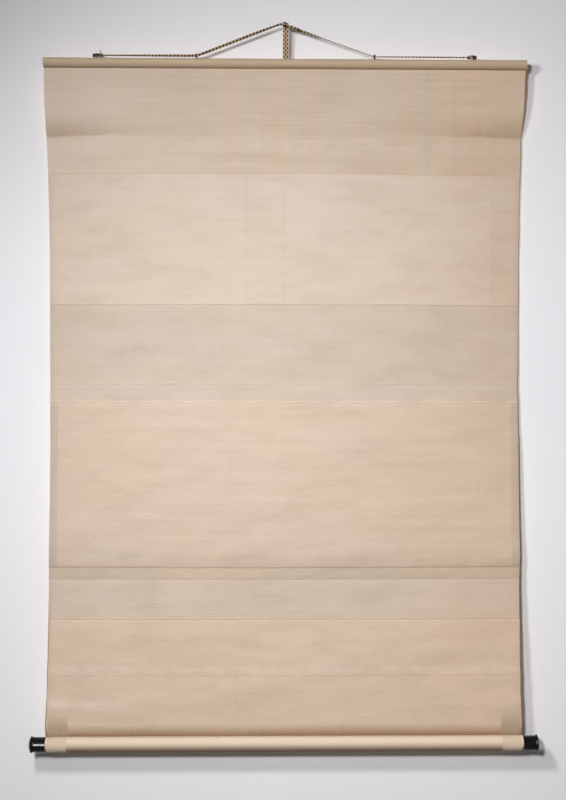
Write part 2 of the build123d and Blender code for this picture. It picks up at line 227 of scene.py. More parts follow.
# %% [markdown]
# ## Effects that several finishes share
#
# Old pasted paper and old silk show the same few things: a join is a thin wavering line that comes and goes, the
# cloth behind a backing shows as a faint lattice of threads, and age leaves soft clouds. Each is a node group, so the
# paper, the silk, the patches and the mount can use it with their own sizes. A group gives out masks and heights only.

# %% Join line: a thin line that wavers and fades along its length
join_line, ends, out = new_group(
    "join line",
    {"Across": 0.0, "Along": 0.0, "Centre": 0.0, "Width": 0.001, "Waver": 0.0005, "Breaks": 0.3},
    ("Mask",),
)
slow, quick_change = [
    put(join_line, "ShaderNodeTexNoise", noise_dimensions="1D", into={
        "W": maths(how, ends["Along"], ends["Centre"]), "Scale": scale, "Detail": detail,
    }).outputs["Fac"]
    for how, scale, detail in (("ADD", 9.0, 3.0), ("SUBTRACT", 31.0, 2.0))
]
shift = times(minus(slow, 0.5), ends["Waver"])
gap = maths("ABSOLUTE", minus(plus(ends["Across"], shift), ends["Centre"]))
body = minus(1.0, maths("DIVIDE", gap, ends["Width"]), clamp=True)
fade = minus(1.0, times(ends["Breaks"], rescaled(quick_change, 0.35, 0.65)))
set_input(out["Mask"], times(body, fade))


def line_mask(across, along, centre, width, waver, breaks):
    """Mask of a join line in a material; its centre, width and waver are in mm."""
    lengths = {"Centre": centre * MM, "Width": width * MM, "Waver": waver * MM}
    return place(join_line, Across=across, Along=along, Breaks=breaks, **lengths)["Mask"]


# %% Thread lattice: the cloth that shows through its backing
thread_lattice, ends, out = new_group(
    "thread lattice",
    {"Vector": (0.0, 0.0, 0.0), "Across Pitch": 0.0068, "Down Pitch": 0.006, "Across Share": 0.5},
    ("Mask", "Height"),
)
axes = axes_of(ends["Vector"])
drift = waver_of(ends["Vector"], 14.0, 0.004)


def thread_wave(axis, pitch):
    turns = maths("DIVIDE", plus(axes[axis], drift), ends[pitch])
    return rescaled(maths("COSINE", times(turns, 2 * math.pi)), 0.1, 1.0)


columns = times(thread_wave(0, "Across Pitch"), ends["Across Share"])
lattice = maths("MAXIMUM", thread_wave(2, "Down Pitch"), columns)
worn_thin = rescaled(noise(ends["Vector"], 11.0, 4.0), 0.3, 0.7, 0.15, 1.0)
set_input(out["Mask"], times(lattice, worn_thin))
set_input(out["Height"], lattice)


# %% Paper fibres and age clouds
def sized(vector, factor):
    return put(vector.id_data, "ShaderNodeVectorMath", vector, into={"Scale": factor}, operation="SCALE").outputs[0]


paper_fibre, ends, out = new_group("paper fibre", {"Vector": (0.0, 0.0, 0.0), "Scale": 1.0}, ("Mask", "Height"))
on_paper = sized(ends["Vector"], ends["Scale"])
strands = [rescaled(noise(on_paper, size, 4.0, 0.65), 0.5, 0.75) for size in ((60.0, 60.0, 420.0), (380.0, 60.0, 45.0))]
fibres = maths("MAXIMUM", *strands)
set_input(out["Mask"], fibres)
set_input(out["Height"], plus(times(noise(on_paper, 900.0, 3.0), 0.5), fibres))

age_clouds, ends, out = new_group("age clouds", {"Vector": (0.0, 0.0, 0.0), "Size": 4.0}, ("Warm", "Pale", "Streak"))
on_cloud = sized(ends["Vector"], ends["Size"])
drawn = stretched(on_cloud, (1.0, 1.0, 1.9))
moved = put(age_clouds, "ShaderNodeVectorMath", drawn, (7.3, 1.1, 3.7), operation="ADD").outputs[0]
set_input(out["Warm"], rescaled(noise(drawn, 1.0, 4.0, 0.55), 0.38, 0.66))
set_input(out["Pale"], rescaled(noise(moved, 1.3, 4.0, 0.55), 0.4, 0.68))
set_input(out["Streak"], rescaled(noise(on_cloud, (0.55, 1.0, 16.0), 4.0, 0.6), 0.3, 0.7))
print("shared effects:", [g.name for g in bpy.data.node_groups])

# %% [markdown]
# ## The form of the sheet
#
# The sheet is one long strip. From its top end it goes round the stave, hangs down in four bays between three folds,
# bends back behind the roller and goes once round it. Between the folds the side edges curl towards the wall, so a
# level cut through the sheet is a shallow curve. The solid is lofted through nine such cuts. The same nine cuts are
# repeated here, so the fine mesh lies where the solid lies, and the silk and the patches can be laid on it.

# %% Sizes repeated from the solids
MIDDLE_X = 9 * MM
HALF_TOP = 450 * MM
HALF_ROLL = 444 * MM
PAPER = 0.65 * MM
STAVE_LOW = -81.5 * MM
STAVE_MIDDLE = -72.75 * MM
POCKET_Y = 3.75 * MM
POCKET_R = 8.75 * MM
POCKET_LAND_Y = -2.0 * MM
ROLLER_Y = -14 * MM
ROLLER_Z = -1340 * MM
WRAP_R = 14.25 * MM
TAIL_TURN = math.radians(32)
TAIL_R = 55 * MM
TAIL_TOP_Z = ROLLER_Z + 75 * MM
TAIL_TOP_Y = ROLLER_Y + WRAP_R * math.cos(TAIL_TURN) - TAIL_R * (1 - math.cos(TAIL_TURN))
TAIL_BEND_Z = ROLLER_Z + (WRAP_R + TAIL_R) * math.sin(TAIL_TURN)
CREASE_Z, UPPER_Z, LOWER_Z = -204 * MM, -668.5 * MM, -1034.5 * MM
FOLD_IN, BILLOW, EDGE_SAG, EDGE_WAIST = 5.5 * MM, 2.5 * MM, 27 * MM, 7 * MM


def cut(z, inward, sag, waist):
    """Height, picture face in the middle, sag of the edges and drawn-in width of one level cut."""
    along = (STAVE_LOW - z) / (STAVE_LOW - TAIL_TOP_Z)
    return z, POCKET_Y + along * (TAIL_TOP_Y - POCKET_Y) + inward, sag * EDGE_SAG, waist


CUTS = [
    cut(STAVE_LOW, 0, 0, 0),
    cut((STAVE_LOW + CREASE_Z) / 2, 0.1 * BILLOW, 0.14, 0.1 * EDGE_WAIST),
    cut(CREASE_Z, 0.7 * FOLD_IN, 0.74, 0.4 * EDGE_WAIST),
    cut((CREASE_Z + UPPER_Z) / 2, BILLOW, 1.0, 0.9 * EDGE_WAIST),
    cut(UPPER_Z, FOLD_IN, 0.96, EDGE_WAIST),
    cut((UPPER_Z + LOWER_Z) / 2, BILLOW, 0.72, 0.85 * EDGE_WAIST),
    cut(LOWER_Z, FOLD_IN, 0.36, 0.9 * EDGE_WAIST),
    cut((LOWER_Z + TAIL_TOP_Z) / 2, BILLOW, 0.15, 0.88 * EDGE_WAIST),
    cut(TAIL_TOP_Z, 0, 0, HALF_TOP - HALF_ROLL),
]


def bay_values(z):
    """Picture face in the middle, sag and waist at heights z: in each bay a parabola through its three cuts."""
    found = np.zeros((3,) + np.shape(z))
    for first in (0, 2, 4, 6):
        top, half_way, low = CUTS[first : first + 3]
        t = (top[0] - z) / (top[0] - low[0])
        inside = (t > -1e-6) & (t < 1 + 1e-6)
        weights = (1 - t) * (1 - 2 * t), 4 * t * (1 - t), t * (2 * t - 1)
        for k in range(3):
            value = weights[0] * top[k + 1] + weights[1] * half_way[k + 1] + weights[2] * low[k + 1]
            found[k] = np.where(inside, value, found[k])
    return found


print("cuts of the sheet:", len(CUTS), "from", round(CUTS[0][0], 4), "to", round(CUTS[-1][0], 4), "m")

# %% [markdown]
# ## Joins, ripples and the crease
#
# Behind the backing paper lie pieces of cloth and paper of different thickness, so the back has low steps and ridges
# at their joins. A sheet that was rolled for years also keeps slow ripples. They are real shapes, so they go into the
# mesh: a lift of the backing beyond its plain thickness, and a ripple that moves both faces together. Finer marks,
# below about a millimetre, are left to the material.

# %% Heights of the joins, and the relief that goes with them
SILK_LOW = -276 * MM
JOINS = {  # heights of the joins, from the top down
    "upper cloth": -520 * MM,
    "upper band": UPPER_Z,
    "picture top": -703.5 * MM,
    "picture low": -1013.5 * MM,
    "lower band": LOWER_Z,
    "lower cloth": -1109.5 * MM,
    "paper seam": -1213 * MM,
}
JOIN_RELIEF = (  # join, rise of the backing below it, and height and half width of the ridge on it, in mm
    ("upper cloth", -0.10, 0.10, 1.2), ("upper band", 0.16, 0.18, 2.0), ("picture top", -0.10, 0.16, 1.6),
    ("picture low", 0.14, 0.12, 1.0), ("lower band", -0.14, 0.10, 1.0), ("lower cloth", 0.12, 0.12, 0.9),
    ("paper seam", -0.06, 0.06, 1.2),
)
STEP_WIDE = 1.4 * MM


def smooth_rise(value, width):
    t = np.clip(value / width + 0.5, 0, 1)
    return t * t * (3 - 2 * t)


def backing_lift(x, z):
    """How far the backing stands out towards the room beyond its plain thickness."""
    waver = 0.4 * MM * np.sin(x * 13 + 1.0) + 0.25 * MM * np.sin(x * 41 + 2.0)
    lift = np.zeros(np.shape(x + z))
    for join, rise, height, width in JOIN_RELIEF:
        above = z - JOINS[join] + waver
        lift += MM * (rise * smooth_rise(-above, STEP_WIDE) + height * np.exp(-((above / (width * MM)) ** 2)))
    return lift


# %% Ripples, crumples and the crease
CELLS = 64  # random heights along each side of the field that the crumples are read from
FIRST_SEED = 11
CREASE_ARCH = 10 * MM  # how much higher the crease lies in the middle than at the edges
CRUMPLES = (  # height, width and drop of the cells in mm, slant, and whether they are pinched into ridges
    (1.50, 210, 74, 0.10, False), (0.85, 95, 34, 0.30, False), (0.80, 120, 30, -0.08, True),
    (0.48, 52, 19, 0.22, True), (0.26, 34, 14, 0.05, False),
)


def random_heights(x, z, wide, tall, slant, seed):
    """Smooth random heights from -1 to 1 on cells that are wide and tall, slanting up to the right."""
    heights = np.random.default_rng(seed).uniform(-1, 1, (CELLS, CELLS))
    column, row = x / wide, (z - slant * x) / tall
    i, k = np.floor(column).astype(int), np.floor(row).astype(int)
    s, t = (smooth_rise(v - np.floor(v) - 0.5, 1.0) for v in (column, row))
    low, high = (
        heights[i % CELLS, level % CELLS] * (1 - s) + heights[(i + 1) % CELLS, level % CELLS] * s
        for level in (k, k + 1)
    )
    return low * (1 - t) + high * t


def ripple(x, z):
    """Movement of the whole sheet towards the wall: slow cockles, crumples and pinched folds."""
    u = (x - MIDDLE_X) / HALF_TOP
    free = smooth_rise(STAVE_LOW - 18 * MM - z, 40 * MM) * smooth_rise(z - TAIL_TOP_Z - 8 * MM, 50 * MM)
    cockle = 0.9 * np.sin(7.1 * x + 5.3 * z + 0.6) * np.sin(4.7 * z + 1.9)
    for seed, (height, wide, tall, slant, ridged) in enumerate(CRUMPLES, FIRST_SEED):
        heights = random_heights(x, z, wide * MM, tall * MM, slant, seed)
        cockle = cockle + height * (np.abs(heights) if ridged else heights)
    rolled = 0.06 * np.sin(205 * z + 2.1 * np.sin(5 * x) + 0.7) * (0.55 + 0.45 * np.sin(3.1 * x + 11 * z))
    crease = CREASE_Z + CREASE_ARCH * (1 - u * u)
    crease_reach = np.where(z > crease, 16 * MM, 7 * MM)
    crease_depth = 2.0 * (0.16 + 0.70 * u * u) * (1 + 0.35 * np.sin(15 * x + 1) * np.sin(37 * x))
    pinch = crease_depth * np.exp(-np.abs(z - crease) / crease_reach)
    fold_reach = np.where(z > JOINS["picture low"], 15 * MM, 5 * MM)
    pinch = pinch + 2.0 * np.exp(-np.abs(z - JOINS["picture low"]) / fold_reach)
    corner = np.clip(np.abs(u) - 0.72, 0, 1) / 0.28
    corner_wave = 1.1 * corner * np.sin((z + 1.262) * 92) * np.exp(-(((z + 1.235) / 0.05) ** 2))
    fine = 0.22 * np.exp(-(((z + 0.186) / 0.018) ** 2)) * np.exp(-((u / 0.22) ** 2)) * np.sin(z * 620 + 4 * u)
    return MM * free * (cockle + rolled + pinch + corner_wave + fine)


# %% The two faces of the sheet
EDGES = (  # height, and how far the hand-cut left and right edges stand out from the even strip, all in mm
    (-81, 0, 0), (-105, 0.2, -1.4), (-160, 1.2, -1.2), (-204, 2.8, -1.6), (-230, 2.2, -0.3), (-320, 1.4, -1.0),
    (-420, 0.6, -1.0), (-560, 0.9, 0.2), (-668, 0.3, -1.6), (-780, -1.4, -1.3), (-890, -2.1, -1.5),
    (-1000, -0.4, -0.4), (-1060, -1.3, -2.0), (-1170, -1.2, -2.9), (-1250, -0.1, -2.4), (-1300, 2.5, -0.8),
    (-1326, 2.7, -0.4), (-1336, 0.4, 0),
)


def edge_shift(u, z):
    """Sideways shift of the strip, which grows from its middle to its edges."""
    heights, left, right = np.array(EDGES[::-1]).T * MM
    return u * u * np.where(u < 0, -np.interp(z, heights, left), np.interp(z, heights, right))


def picture_face(u, z):
    """Points on the picture side, u from -1 to 1 across the sheet."""
    y, sag, waist = bay_values(z)
    x = MIDDLE_X + u * (HALF_TOP - waist) + edge_shift(u, z)
    return np.stack([x, y + sag * u * u + ripple(x, z), z + 0 * x], -1)


def backing_face(u, z, stand_off=0.0):
    """Points on the side towards the room, stood off from the backing."""
    points = picture_face(u, z)
    points[..., 1] -= PAPER + backing_lift(points[..., 0], points[..., 2]) + stand_off
    return points


# %% [markdown]
# ## The strip that the sheet is
#
# The strip's outer side, which is the picture side, is laid out row by row: round the stave, down the bays, along the
# tail's arc and round the roller. The inner side follows one paper thickness further in. Rows lie closer together at
# the joins, where the relief is small, and far apart on the plain parts. Side walls and end caps close it.

# %% Ways round the stave, down the tail and round the roller
def turned(middle, radius, degrees):
    """Points of an arc in the YZ plane; 0 degrees points to the wall and 90 up."""
    a = np.radians(degrees)
    return np.stack([middle[0] + radius * np.cos(a), middle[1] + radius * np.sin(a)], -1)


def pocket_profile(inward):
    """The way round the stave, from under it, up its round front and down its flat side."""
    r = POCKET_R - inward
    back, corner = POCKET_Y - inward, 1.0 * MM
    front = turned((POCKET_LAND_Y, STAVE_MIDDLE), r, np.linspace(-90, -270, 21))
    bend = turned((back - corner, STAVE_MIDDLE + r - corner), corner, np.linspace(90, 0, 5))
    start = [(POCKET_Y - PAPER - 0.02 * MM, STAVE_MIDDLE - r), (POCKET_LAND_Y + 2 * MM, STAVE_MIDDLE - r)]
    return np.vstack([start, front, bend])


def tail_profile(inward, top=TAIL_TOP_Z, last_turn=TAIL_TURN):
    """Straight down to the bend, then back round it."""
    straight = np.linspace(top, TAIL_BEND_Z, 9)[1:]
    turn = np.linspace(0, last_turn, 22)[1:]
    r = TAIL_R + inward
    down = np.stack([np.full_like(straight, TAIL_TOP_Y - inward), straight], -1)
    bend = np.stack([TAIL_TOP_Y + TAIL_R - r * np.cos(turn), TAIL_BEND_Z - r * np.sin(turn)], -1)
    return np.vstack([down, bend])


def wrap_profile(inward):
    return turned((ROLLER_Y, ROLLER_Z), WRAP_R - inward, np.linspace(25, -309, 44))


# %% Rows of the strip
COLUMNS = 121
across = np.linspace(-1, 1, COLUMNS)
PLAIN_ROWS, CLOSEST_ROWS = 186, 0.3 * MM
AROUND_JOIN = (-4.5, -2.8, -1.6, -0.8, -0.2, 0.4, 1.0, 1.8, 3.0, 5.0)  # rows near a join, in mm from it
close_rows = [height + away * MM for height in (*JOINS.values(), CREASE_Z) for away in AROUND_JOIN]
bay_rows = np.sort(np.concatenate([np.linspace(STAVE_LOW, TAIL_TOP_Z, PLAIN_ROWS), close_rows]))[::-1]
bay_rows = bay_rows[np.concatenate([[True], -np.diff(bay_rows) > CLOSEST_ROWS])]


def strip_side(inward, face):
    """One side of the strip as a grid of points; face makes the part in the bays."""
    parts = []
    for profile, half, hand_cut in (
        (pocket_profile(inward), HALF_TOP, False),
        (tail_profile(inward), HALF_ROLL, True),
        (wrap_profile(inward), HALF_ROLL, False),
    ):
        y, z = profile[:, :1], profile[:, 1:]
        x = MIDDLE_X + across * half + hand_cut * edge_shift(across[None, :], z)
        parts.append(np.stack([x, y + 0 * x, z + 0 * x], -1))
    return np.vstack([parts[0], face(across[None, :], bay_rows[:, None]), *parts[1:]])


picture_rows, backing_rows = strip_side(0.0, picture_face), strip_side(PAPER, backing_face)
print("strip of", len(picture_rows), "rows and", COLUMNS, "columns,", len(bay_rows), "rows in the bays")


# %% Close a strip: two faces, side walls and end caps
def closed_strip(outer, inner):
    """Points and faces of a thin closed strip from its two grids of points, the outer side first."""
    index = np.arange(outer.shape[0] * outer.shape[1]).reshape(outer.shape[:2])
    a, b, c, d = index[:-1, :-1], index[:-1, 1:], index[1:, 1:], index[1:, :-1]
    front = np.stack([a, b, c, d], -1).reshape(-1, 4)
    back = np.stack([a, d, c, b], -1).reshape(-1, 4) + index.size
    edges = index[:, 0], index[::-1, -1], index[-1], index[0, ::-1]
    walls = [np.stack([e[:-1], e[1:], e[1:] + index.size, e[:-1] + index.size], -1) for e in edges]
    points = np.concatenate([outer.reshape(-1, 3), inner.reshape(-1, 3)])
    return points, np.concatenate([front, back, *walls]), len(front)


# %% [markdown]
# ## The backing paper
#
# Most of what the room sees is one warm, thin paper over everything. It isn't one colour: cloth behind it makes some
# fields greyer and shows its threads, the picture paper behind the middle makes that part warmer, joins are thin dark
# lines, partly painted shade under their low steps, with thin light lines beside them that are painted highlights, and
# the paper's own sheets meet in upright joins. Low on the sheet, painted shade and a painted highlight stand in for the
# bend into the roller, the curled edge and a wave. A colour ramp over the height gives each field its tint, and the
# groups draw the rest over it. Object coordinates are enough, because the sheet hangs straight.

# %% Fields of the backing paper
FIELDS = (  # height of each field's lower end in mm, from the bottom up, and the field's tint
    (-1400, (206, 184, 163)), (-1213, (204, 183, 162)), (-1109.5, (199, 182, 166)), (-1034.5, (186, 169, 150)),
    (-1013.5, (205, 186, 168)), (-703.5, (199, 184, 171)), (-668.5, (200, 184, 170)), (-520, (209, 192, 178)),
)
RAMP_LOW, RAMP_HIGH = -1.4, 0.0
backing_paper, paper_shader, here = new_material("backing_paper")
tree = backing_paper.node_tree
x_here, _, z_here = axes_of(here)
level = plus(z_here, waver_of(here, (13.0, 0.0, 0.0), 0.0012))
ramp = put(tree, "ShaderNodeValToRGB", rescaled(level, RAMP_LOW, RAMP_HIGH, smooth=False))
ramp.color_ramp.interpolation = "CONSTANT"
stops = ramp.color_ramp.elements
stops.remove(stops[1])
for number, (height, tint) in enumerate(FIELDS):
    stop = stops[0] if number == 0 else stops.new((height * MM - RAMP_LOW) / (RAMP_HIGH - RAMP_LOW))
    stop.color = screen_colour(*tint)
print("fields:", len(stops))


# %% Age of the backing paper
def between(z, low, high, soft=0.0015):
    """Mask of a band of heights."""
    return times(rescaled(z, low - soft, low + soft), rescaled(z, high - soft, high + soft, 1.0, 0.0))


clouds = place(age_clouds, Vector=here, Size=4.2)
in_picture = between(z_here, JOINS["picture low"], JOINS["picture top"])
worn_grey = rescaled(noise(here, (9.0, 0.0, 30.0), 5.0, 0.62), 0.42, 0.68)
right_age = rescaled(x_here, 0.08, 0.46, 0.0, 0.13)
end_paper = times(rescaled(x_here, 0.399, 0.401), between(z_here, JOINS["upper cloth"], SILK_LOW))
colour = laid(
    ramp.outputs["Color"],
    (clouds["Warm"], 0.17, (208, 176, 152)),
    (clouds["Pale"], 0.16, (196, 184, 158)),
    (clouds["Streak"], plus(0.08, times(in_picture, 0.06)), (176, 150, 126)),
    (worn_grey, 0.19, (166, 146, 124)),
    (right_age, 1, (218, 172, 122)),
    (end_paper, 0.07, (172, 144, 114)),
)

# %% Threads of the mount cloth behind the backing
side_distance = maths("ABSOLUTE", minus(x_here, MIDDLE_X))
side_strips = times(in_picture, rescaled(side_distance, 0.4265, 0.4285))
cloth_behind = plus(
    between(z_here, JOINS["upper band"], JOINS["upper cloth"]),
    between(z_here, JOINS["lower cloth"], JOINS["lower band"]),
)
cloth_behind = plus(cloth_behind, side_strips, clamp=True)
threads = place(thread_lattice, Vector=here, Across_Share=0.85)
colour = laid(
    colour,
    (side_strips, 0.45, (178, 166, 152)),
    (threads["Mask"], times(cloth_behind, 0.15), (150, 132, 110)),
)

# %% Joins and creases of the paper, with painted shade and painted highlights at their steps
# Place in mm, width in mm, breaks and share of each line. An upright one also has its lower and upper end in mm.
# Dark lines: paste lines at the joins, partly painted shade under their low steps. The two wide ones just above the
# picture's lower join are painted shade where the sheet folds in.
JOIN_LINES_AND_PAINTED_SHADE = (
    (-520.5, 1.3, 0.5, 0.32), (-671.0, 1.4, 0.6, 0.14), (-1013.5, 1.9, 0.12, 0.50), (-1010.0, 6.0, 0.3, 0.12),
    (-1000.0, 26.0, 0.3, 0.13), (-1034.5, 1.8, 0.2, 0.36), (-1109.5, 1.3, 0.3, 0.42), (-1214.0, 1.5, 0.6, 0.22),
    (-64.0, 1.0, 0.6, 0.22, -520, -278), (400.0, 1.0, 0.6, 0.16, -520, -278), (5.0, 1.1, 0.96, 0.30, -535, -300),
    (-91.0, 1.0, 0.6, 0.16, -910, -670), (374.0, 1.0, 0.6, 0.12, -890, -705), (-81.0, 1.0, 0.5, 0.18, -1330, -1208),
    (389.0, 1.0, 0.5, 0.18, -1330, -1208),
)
# Light lines: painted highlights on the steps and ridges beside the joins.
PAINTED_HIGHLIGHT_LINES = (
    (-665.8, 1.9, 0.5, 0.16), (-674.0, 1.5, 0.6, 0.12), (-702.5, 1.5, 0.7, 0.36), (-709.0, 2.2, 0.6, 0.22),
    (-1112.2, 1.6, 0.5, 0.36), (-517.5, 1.6, 0.6, 0.12), (-1038.5, 1.8, 0.6, 0.18), (-1203.0, 9.0, 0.7, 0.18),
)
JOIN_WAVER = 1.6  # mm
for line_set, tint in ((JOIN_LINES_AND_PAINTED_SHADE, (126, 98, 72)), (PAINTED_HIGHLIGHT_LINES, (232, 218, 202))):
    for centre, width, breaks, share, *reach in line_set:
        runs = (x_here, z_here) if reach else (z_here, x_here)
        line = line_mask(*runs, centre, width, JOIN_WAVER, breaks)
        if reach:
            line = times(line, between(z_here, reach[0] * MM, reach[1] * MM))
        colour = laid(colour, (line, share, tint))
print("joins drawn:", len(JOIN_LINES_AND_PAINTED_SHADE) + len(PAINTED_HIGHLIGHT_LINES))

# %% Specks, soiled edges, painted shade and a painted highlight low on the sheet, and the paper's own surface
speck_values = {"Vector": stretched(here, (1.0, 0.0, 1.0)), "Scale": 9.0, "Randomness": 1.0}
speck_at = put(tree, "ShaderNodeTexVoronoi", into=speck_values).outputs
speck_size = times(put(tree, "ShaderNodeSeparateColor", speck_at["Color"]).outputs[0], 0.012)
# A pale band on a wave above the lower left patch is a painted highlight.
painted_wave_highlight = line_mask(z_here, x_here, -1268, 12, 16, 0.5)
# A dark line along the lower left edge is painted shade of the curled edge.
painted_edge_shade_line = minus(x_here, times(plus(z_here, 1.17), 0.03))
fibre = place(paper_fibre, Vector=here, Scale=1.0)
colour = laid(
    colour,
    (maths("LESS_THAN", speck_at["Distance"], speck_size), 0.55, (112, 88, 66)),
    (rescaled(side_distance, 0.428, 0.452), 0.30, (172, 138, 110)),
    (painted_wave_highlight, rescaled(x_here, -0.24, -0.38, 0.0, 0.42), (232, 214, 198)),
    (rescaled(painted_edge_shade_line, -0.4308, -0.4328), rescaled(z_here, -1.04, -1.26, 0.0, 0.8), (92, 80, 64)),
    # Painted shade across the bottom of the tail, where it bends back into the nip above the roller.
    (rescaled(plus(z_here, times(clouds["Warm"], 0.004)), -1.298, -1.330), 0.78, (138, 100, 60)),
    (fibre["Mask"], 0.10, (220, 208, 192)),
)
relief = plus(times(fibre["Height"], 0.35), times(threads["Height"], times(cloth_behind, 0.5)))
relief = plus(relief, times(noise(here, (44.0, 0.0, 120.0), 6.0, 0.68), 5.0))
fibre_sheen = rescaled(fibre["Mask"], 0.0, 1.0, 0.86, 0.74)
dress(paper_shader, colour, fibre_sheen, relief, 0.35, 0.0006, Specular_IOR_Level=0.3)

# %% [markdown]
# ## The mount on the picture side
#
# The other side of the strip is the mount cloth with the picture let into it. It shows to the room only where it goes
# round the stave and the roller, and from the wall side as a whole. The picture's own place is left as bare paper. The
# cloth follows the strip round both rods, so this finish reads a map of distances along and across the strip.

# %% Weave and fields of the mount cloth
mount_cloth, cloth_shader, in_space = new_material("mount_cloth")
tree = mount_cloth.node_tree
across_here, along_here, _ = axes_of(put(tree, "ShaderNodeUVMap", uv_map="strip").outputs["UV"])
z_here = axes_of(in_space)[2]
side_distance = maths("ABSOLUTE", across_here)
framed = put(tree, "ShaderNodeCombineXYZ", across_here, 0.0, along_here).outputs[0]
FIELD_SOFT, PICTURE_HALF = 0.0004, 0.427


def field(low, high, half=None):
    """Mask of a field of the mount between two heights in mm, and within half a width if that is given."""
    inside = between(z_here, low * MM, high * MM, FIELD_SOFT)
    if half is None:
        return inside
    return times(inside, rescaled(side_distance, half - FIELD_SOFT, half + FIELD_SOFT, 1.0, 0.0))


clouds = place(age_clouds, Vector=in_space, Size=5.0)
weave = times(threads_along(framed, 420.0, 0.6, "X"), threads_along(framed, 380.0, 0.8, "Z"))
threads = place(thread_lattice, Vector=framed, Across_Pitch=0.0068, Down_Pitch=0.006, Across_Share=0.9)
bands = plus(field(-703.5, -668.5, PICTURE_HALF), field(-1034.5, -1013.5, PICTURE_HALF), clamp=True)
bare_paper = tints(times(clouds["Warm"], 0.5), (228, 216, 194), (214, 194, 162))
colour = tints(weave, (196, 173, 145), (214, 192, 165))
for place_mask, cloth in (
    (field(-1109.5, -520), tints(threads["Mask"], (176, 152, 118), (146, 122, 92))),
    (bands, tints(weave, (142, 112, 70), (178, 148, 100))),
    (field(-1013.5, -703.5, PICTURE_HALF), bare_paper),
):
    colour = mixed(place_mask, colour, cloth)

# %% Age of the mount cloth, and painted shade under the stave and under the roller
# Painted shade on the lower side of the cloth round the stave.
painted_shade_under_stave = times(rescaled(z_here, -0.068, -0.081, 0.0, 0.42), rescaled(z_here, -0.10, -0.09))
colour = laid(
    colour,
    (clouds["Streak"], 0.16, (140, 114, 88)),
    (clouds["Pale"], 0.14, (226, 208, 184)),
    (rescaled(z_here, ROLLER_Z + 0.016, ROLLER_Z + 0.012), 0.75, (222, 204, 184)),
    # Painted shade: the cloth round the roller darkens towards the roller's underside.
    (rescaled(z_here, ROLLER_Z + 0.009, ROLLER_Z - 0.011, 0.0, 0.88), 1, (120, 84, 62)),
    (painted_shade_under_stave, 1, (122, 98, 72)),
)
dress(cloth_shader, colour, rescaled(weave, 0.0, 1.0, 0.82, 0.62), weave, 0.4, 0.0003, Specular_IOR_Level=0.35)

# %% The sheet itself
points, faces, outer_count = closed_strip(picture_rows, backing_rows)
which = np.zeros(len(faces), dtype=np.int32)
which[outer_count : 2 * outer_count] = 1
sheet = new_piece("sheet", points, faces, (mount_cloth, backing_paper), which)
step = np.linalg.norm(np.diff(picture_rows[:, COLUMNS // 2], axis=0), axis=1)
along = np.concatenate([[0], np.cumsum(step)])
flat_map = np.stack(np.broadcast_arrays(across[None, :] * HALF_TOP, along[:, None]), -1).reshape(-1, 2)
flat_map = np.concatenate([flat_map, flat_map])
layer = sheet.data.uv_layers.new(name="strip")
corners = np.zeros(len(sheet.data.loops), dtype=np.int32)
sheet.data.loops.foreach_get("vertex_index", corners)
layer.data.foreach_set("uv", flat_map[corners].astype(np.float32).ravel())
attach(sheet, "root")
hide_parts("scroll_sheet")

# %% [markdown]
# ## The cover silk
#
# The silk protects the outside of the rolled scroll. It is thin, faintly striped along its length, and pasted on the
# back from the stave down past the crease. It is a strip of its own that stands off the backing by its paste line, and
# its lower edge is cut by hand, so it isn't quite straight.

# %% Stripes and threads of the silk
cover_silk, silk_shader, here = new_material("cover_silk")
x_here, _, z_here = axes_of(here)
SILK_STRIPES = (  # place and width in mm, share and tint
    (-231, 5, 0.40, (216, 172, 132)), (-92, 6, 0.34, (216, 176, 138)), (0, 30, 0.24, (212, 182, 154)),
    (277, 9, 0.34, (170, 160, 146)), (328, 9, 0.30, (170, 160, 146)), (-330, 16, 0.20, (200, 190, 176)),
)
broad, narrow = (noise(here, (scale, 0.0, run), 3.0, 0.6) for scale, run in ((24.0, 0.35), (140.0, 0.9)))
slub = noise(here, (5.0, 0.0, 170.0), 4.0, 0.65)
clouds = place(age_clouds, Vector=here, Size=6.0)
handling = rescaled(noise(here, (8.0, 0.0, 34.0), 5.0, 0.62), 0.40, 0.70)
colour = laid(
    tints(rescaled(broad, 0.35, 0.65), (194, 178, 161), (200, 176, 154)),
    (rescaled(narrow, 0.45, 0.7), 0.15, (178, 166, 150)),
    (rescaled(slub, 0.45, 0.66), 0.15, (168, 148, 128)),
    (rescaled(slub, 0.50, 0.32), 0.16, (228, 212, 196)),
    *((line_mask(x_here, z_here, at, wide, 0.8, 0.5), share, tint) for at, wide, share, tint in SILK_STRIPES),
    (clouds["Streak"], 0.07, (156, 132, 108)),
    (clouds["Pale"], 0.14, (208, 196, 186)),
    (handling, 0.18, (164, 144, 122)),
    (rescaled(x_here, 0.12, 0.46, 0.0, 0.19), 1, (218, 172, 114)),
    (rescaled(x_here, -0.10, -0.42, 0.0, 0.30), 1, (209, 193, 178)),
)

# %% Crease, wrinkles and weave of the silk, with painted shade above the crease and in the wrinkles, and a painted highlight below the crease
# Dark lines in the middle of the silk are painted shade of its fine wrinkles.
PAINTED_WRINKLE_SHADE = ((-166.0, 0.10), (-176.5, 0.20), (-186.0, 0.14), (-195.5, 0.16))  # height in mm and share
side_distance = maths("ABSOLUTE", minus(x_here, MIDDLE_X))
fold_waver = waver_of(here, (17.0, 0.0, 0.0), 0.016, 4.0)
fold_waver = minus(fold_waver, rescaled(side_distance, 0.0, 0.43, CREASE_ARCH, 0.0))
above_crease = rescaled(plus(z_here, fold_waver), -0.2075, -0.2015)
